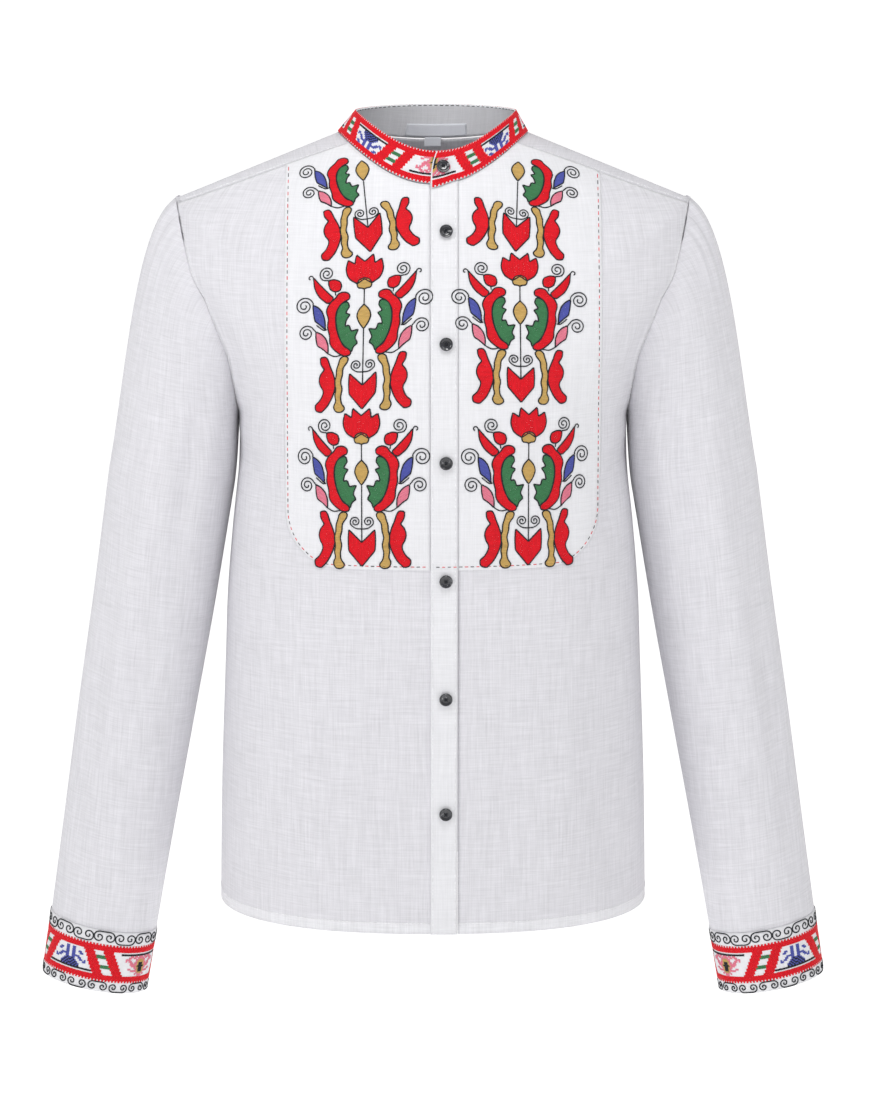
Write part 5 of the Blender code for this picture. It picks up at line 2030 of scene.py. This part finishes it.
@dataclass
class BandEmbroidery:
    """The cuffs' and the collar's counted-thread bands and the cuffs' scrolls."""

    pattern: BandPattern = BandPattern()
    cuff_band: tuple[float, float] = (9.8, 44.3)
    scroll_width: float = 18.3
    upper_scroll: tuple[float, float] = (45.5, 10.6)
    lower_scroll: tuple[float, float] = (0.7, 8.4)
    cuff_first_field: float = 0.331

    def cuff_chart(self, sleeves: Sleeves, side: Side) -> StraightChart:
        """A cuff's outer face, from the middle of its first field round."""
        places = self.cuff_first_field + np.linspace(0, 1, 361)
        heights = np.linspace(sleeves.tube[0][0], sleeves.cuff_top, 13)
        grid = np.array([sleeves.ring(side, height, places) for height in heights])
        return StraightChart(Sheet.facing(grid, side.value, WALL.cuff / 2), sleeves.cuff_height, closed=True)

    def cuff(self, girth: float) -> Needlework:
        """A cuff's needlework, by distance round from the middle of its first field and height."""
        work = Needlework()
        pattern = self.pattern
        rows = round((self.cuff_band[1] - self.cuff_band[0]) / pattern.cell)
        columns = 2 * round(girth / pattern.cell / 2)
        cell = girth / columns
        stretch = 4 * pattern.half_period / girth
        for column in range(columns):
            place = (column + 0.5) * cell
            across = abs((place + girth / 4) % (girth / 2) - girth / 4) * stretch
            for row in range(rows):
                thread = pattern.thread(row, rows, across, column % 2 == 0)
                if thread is not None:
                    work.cross(thread, (place, self.cuff_band[0] + (row + 0.5) * pattern.cell), cell)
        count = 2 * round(girth / self.scroll_width / 2)
        width = girth / count
        for foot, height in (self.upper_scroll, self.lower_scroll):
            for number in range(count):
                line = scroll(width, height, number % 2 == 0)
                work.line(Thread.DARK, line + ((number + 0.5) * width, foot), width=1.15)
        return work

    def collar(self, chart: StraightChart, collar: Collar) -> Needlework:
        """The collar's needlework, by distance from its under end."""
        work = Needlework()
        pattern = self.pattern
        rows = round(collar.height / pattern.cell)
        cell = collar.height / rows
        front = chart.length + collar.over_edge
        for column in range(int((chart.length - 1.0) / pattern.cell)):
            place = 0.5 + (column + 0.5) * pattern.cell
            along = min(abs(place - collar.under_x), abs(front - place))
            period = 2 * pattern.half_period
            across = abs((along - pattern.half_period + period / 2) % period - period / 2)
            for row in range(rows):
                thread = pattern.thread(rows - 1 - row, rows, across, column % 2 == 0)
                if thread is not None:
                    work.cross(thread, (place, (row + 0.5) * cell), pattern.cell)
        return work

    def build(self, box: SewingBox, sleeves: Sleeves, collar: Collar, closure: Closure) -> None:
        """Sews the bands."""
        for side in Side:
            chart = self.cuff_chart(sleeves, side)
            box.sew(f"cuff_{side.word}", self.cuff(chart.length), chart)
        chart = StraightChart(Sheet.facing(collar.band(closure).grid, -1, WALL.collar / 2), collar.height)
        box.sew("collar", self.collar(chart, collar), chart)
        inside = StraightChart(Sheet.facing(collar.band(closure).grid, 1, WALL.collar / 2), collar.height)
        edge = Needlework()
        ends = ((share * inside.length, collar.height - 0.9) for share in (0.22, 0.78))
        edge.dashes((Thread.DARK,), np.array(list(ends)), 5.2, 0.62)
        box.sew("collar_edge", edge, inside)


@dataclass
class Buttons:
    """Four-hole buttons down the closure, each sewn on over a short shank of thread."""

    heights: tuple[float, ...] = (-74.5, -165.5, -263.5, -364.0, -467.0, -568.0)
    # Section from the middle of the underside round to the middle of the face: shares of radius and thickness
    profile: Table = (
        (0.0, 0.0), (0.80, 0.0), (0.93, 0.09), (1.0, 0.32), (1.0, 0.66), (0.965, 0.86), (0.89, 1.0),
        (0.80, 0.99), (0.71, 0.86), (0.62, 0.75), (0.45, 0.70), (0.0, 0.70),
    )
    radius: float = 5.6
    thick: float = 2.4
    stand: float = 3.0
    sides: int = 64
    hole: float = 0.62
    hole_place: float = 1.5
    strand: float = 0.3

    def finish(self) -> bpy.types.Material:
        """Dark polished mother-of-pearl."""
        material = bpy.data.materials.new("dark_pearl")
        material.use_nodes = True
        make = NodeMaker(material.node_tree)
        shader = material.node_tree.nodes["Principled BSDF"]
        shader.inputs["Roughness"].default_value = 0.16
        shader.inputs["Coat Weight"].default_value = 0.8
        shader.inputs["Coat Roughness"].default_value = 0.06
        place = make.add("ShaderNodeTexCoord")
        cloud = make.add(
            "ShaderNodeTexNoise",
            {"Vector": place.outputs["Object"], "Scale": 260.0, "Detail": 3.0, "Distortion": 1.2},
        )
        ramp = make.add("ShaderNodeValToRGB", {0: cloud.outputs[0]})
        for element, position, colour in zip(
            (*ramp.color_ramp.elements, ramp.color_ramp.elements.new(0.6)),
            (0.42, 0.78, 0.6),
            ((0.005, 0.006, 0.009, 1), (0.08, 0.095, 0.13, 1), (0.013, 0.015, 0.024, 1)),
        ):
            element.position, element.color = position, colour
        make.join(ramp.outputs[0], shader.inputs["Base Color"])
        return material

    def tube(self, maker: bmesh.types.BMesh, path: Points, radius: float) -> None:
        """Adds a round strand along a path in one upright plane."""
        along = unit(np.gradient(path, axis=0))
        level = unit(np.cross(along[len(along) // 2], [0.0, 0.0, 1.0]))
        rings = []
        for point, ahead in zip(path, along):
            rise = np.cross(level, ahead)
            angles = np.linspace(0, 2 * math.pi, 9)[:-1]
            rings.append(
                [maker.verts.new(point + radius * (math.cos(a) * level + math.sin(a) * rise)) for a in angles]
            )
        for low, high in zip(rings, rings[1:]):
            for n in range(8):
                maker.faces.new((low[n], low[(n + 1) % 8], high[(n + 1) % 8], high[n]))

    def threads(self) -> bpy.types.Mesh:
        """The crossed threads through the holes and the shank under the button, about the button's foot."""
        maker = bmesh.new()
        face = self.thick * 0.7
        for number, turn in enumerate((math.pi / 4, 3 * math.pi / 4)):
            way = np.array([math.cos(turn), math.sin(turn), 0])
            for beside in (-0.22, 0.22):
                shift = np.array([-way[1], way[0], 0]) * beside
                rise = face + self.strand + 0.35 * number
                half = ((-1.5, -0.2), (-1.5, face), (-1.2, rise))
                marks = (*half, (0, rise + 0.12), *((-reach, z) for reach, z in reversed(half)))
                path = np.array([way * reach + shift + (0, 0, z) for reach, z in marks])
                self.tube(maker, path, self.strand)
        bmesh.ops.create_cone(
            maker,
            cap_ends=True,
            segments=20,
            radius1=1.5,
            radius2=1.25,
            depth=1.3,
            matrix=Matrix.Translation((0, 0, -0.62)),
        )
        mesh = bpy.data.meshes.new("button_threads")
        maker.to_mesh(mesh)
        maker.free()
        return mesh

    def disc(self) -> bpy.types.Mesh:
        """The button's mesh about its foot, with its four holes cut."""
        maker = bmesh.new()
        ring = [maker.verts.new((r * self.radius, 0, h * self.thick)) for r, h in self.profile]
        for a, b in zip(ring, ring[1:]):
            maker.edges.new((a, b))
        bmesh.ops.spin(
            maker,
            geom=maker.verts[:] + maker.edges[:],
            axis=(0, 0, 1),
            cent=(0, 0, 0),
            angle=2 * math.pi,
            steps=self.sides,
            use_merge=True,
        )
        bmesh.ops.remove_doubles(maker, verts=maker.verts[:], dist=1e-4)
        bmesh.ops.recalc_face_normals(maker, faces=maker.faces[:])
        needle = bmesh.new()
        for quarter in range(4):
            angle = math.pi / 4 + quarter * math.pi / 2
            place = Vector((math.cos(angle), math.sin(angle), 0)) * self.hole_place
            bmesh.ops.create_cone(
                needle,
                cap_ends=True,
                segments=20,
                radius1=self.hole,
                radius2=self.hole,
                depth=3 * self.thick,
                matrix=Matrix.Translation(place),
            )
        pair = []
        for name, shape in (("button_blank", maker), ("button_needle", needle)):
            mesh = bpy.data.meshes.new(name)
            shape.to_mesh(mesh)
            shape.free()
            pair.append(new_object(name, mesh))
        cut = pair[0].modifiers.new("holes", "BOOLEAN")
        cut.operation = "DIFFERENCE"
        cut.object = pair[1]
        graph = bpy.context.evaluated_depsgraph_get()
        made = bpy.data.meshes.new_from_object(pair[0].evaluated_get(graph), depsgraph=graph)
        for spare in pair:
            bpy.data.objects.remove(spare)
        made.shade_smooth()
        made.set_sharp_from_angle(angle=math.radians(40))
        return made

    def places(self, collar: Collar, closure: Closure) -> list[tuple[Vector, Vector]]:
        """Each button's foot and the direction it faces: the collar's first, then down the placket."""
        turn = collar.turn_at(1, collar.button_x, 0.5)
        near = [Vector(collar.point(turn + t, 0.5 + h, collar.over)) for t, h in ((0, 0), (0.01, 0), (0, 0.1))]
        facing = (near[1] - near[0]).cross(near[2] - near[0]).normalized()
        facing = facing if facing.y < 0 else -facing
        found = [(near[0] + facing * (WALL.collar / 2 + 0.3), facing)]
        for height in self.heights:
            station = FORM.station_at(closure.button_x, height)
            foot, head = (
                Vector(FORM.front_point(closure.button_x, station, self.stand + lift)) for lift in (0, 1)
            )
            found.append((foot, (head - foot).normalized()))
        return found

    def build(self, collar: Collar, closure: Closure, thread: bpy.types.Material) -> None:
        """Places the seven buttons and their threads."""
        pearl = self.finish()
        disc, sewn = self.disc(), self.threads()
        for number, (foot, facing) in enumerate(self.places(collar, closure), 1):
            turn = facing.to_track_quat("Z", "Y").to_matrix().to_4x4()
            to_place = Matrix.Scale(MM, 4) @ Matrix.Translation(foot) @ turn
            parts = ((f"shirt_button_{number}", disc, pearl), (f"button_thread_{number}", sewn, thread))
            for name, mesh, material in parts:
                own = mesh.copy()
                own.name = name
                own.transform(to_place)
                own.materials.clear()
                own.materials.append(material)
                piece = new_object(name, own)
                if mesh is disc:
                    join_shirt(piece, Slot.BUTTON, f"button_{number}")
                else:
                    join_shirt(piece, Slot.BAND)


@dataclass
class Studio:
    """The pale room, its soft lights and the camera."""

    camera_place: tuple[float, float, float] = (0.0018, -2.87, 0.221)
    camera_tilt: float = math.radians(78.4)
    lens: float = 72.0
    sensor_height: float = 24.0
    floor_z: float = -1.25
    floor_size: float = 200.0
    # Soft boxes: name, place, size, watts
    boxes: tuple = (
        ("key", (-2.1, -1.5, 1.3), 1.0, 16.0),
        ("fill", (1.3, -1.9, 2.1), 1.4, 8.5),
        ("top", (0.0, -1.0, 2.3), 1.6, 4.0),
        ("neck", (0.0, -0.75, 0.85), 0.35, 3.6),
    )

    def floor(self) -> None:
        """A pale floor, wide enough to fill the picture from every side."""
        half = self.floor_size / 2
        mesh = bpy.data.meshes.new("floor")
        corners = [(x * half, y * half, self.floor_z) for x, y in ((-1, -1), (1, -1), (1, 1), (-1, 1))]
        mesh.from_pydata(corners, [], [(0, 1, 2, 3)])
        material = bpy.data.materials.new("pale_floor")
        material.use_nodes = True
        shader = material.node_tree.nodes["Principled BSDF"]
        shader.inputs["Base Color"].default_value = (0.93, 0.93, 0.93, 1)
        shader.inputs["Roughness"].default_value = 1.0
        shader.inputs["Emission Color"].default_value = (1, 1, 1, 1)
        shader.inputs["Emission Strength"].default_value = 0.6
        mesh.materials.append(material)
        new_object("floor", mesh)

    def lights(self) -> None:
        """Four soft boxes and an even sky."""
        for name, place, size, watts in self.boxes:
            lamp = bpy.data.lights.new(name, "AREA")
            lamp.shape = "DISK"
            lamp.size = size
            lamp.energy = watts
            box = bpy.data.objects.new(name, lamp)
            bpy.context.scene.collection.objects.link(box)
            box.location = place
            aim = Vector((0, 0, -0.33)) - Vector(place)
            box.rotation_euler = aim.to_track_quat("-Z", "Y").to_euler()
        world = bpy.data.worlds.new("studio")
        world.use_nodes = True
        world.node_tree.nodes["Background"].inputs[0].default_value = (1.0, 1.0, 1.0, 1)
        world.node_tree.nodes["Background"].inputs[1].default_value = 0.55
        bpy.context.scene.world = world

    def camera(self) -> None:
        """A camera at the photograph's viewing angle."""
        data = bpy.data.cameras.new("camera")
        data.lens = self.lens
        data.sensor_fit = "VERTICAL"
        data.sensor_height = self.sensor_height
        camera = bpy.data.objects.new("camera", data)
        bpy.context.scene.collection.objects.link(camera)
        camera.location = self.camera_place
        camera.rotation_euler = (self.camera_tilt, 0, 0)
        bpy.context.scene.camera = camera

    def build(self) -> None:
        """Sets the stage."""
        self.floor()
        self.lights()
        self.camera()
        bpy.context.scene.view_settings.view_transform = "Standard"


def main() -> None:
    """Builds the shirt, piece by piece, and its studio."""
    logging.basicConfig(level=logging.INFO, format="%(name)s: %(message)s")
    weave_group()
    crease_group()
    linen, double, label = (finish.material() for finish in (LINEN, DOUBLE_LINEN, LABEL_SATIN))
    body = BodyCloth()
    stations = body.stations(3.0)
    closure = Closure()
    body.build(linen)
    closure.build(double, stations)
    panels, sleeves, collar = ChestPanels(), Sleeves(), Collar()
    panels.build(double, stations)
    sleeves.build(linen, double)
    collar.build(double, label, closure)
    box = SewingBox()
    ChestEmbroidery().build(box, panels)
    BandEmbroidery().build(box, sleeves, collar, closure)
    Topstitching().build(box, body, sleeves, closure)
    Buttons().build(collar, closure, box.materials[Thread.DARK])
    Studio().build()


if __name__ == "__main__":
    main()
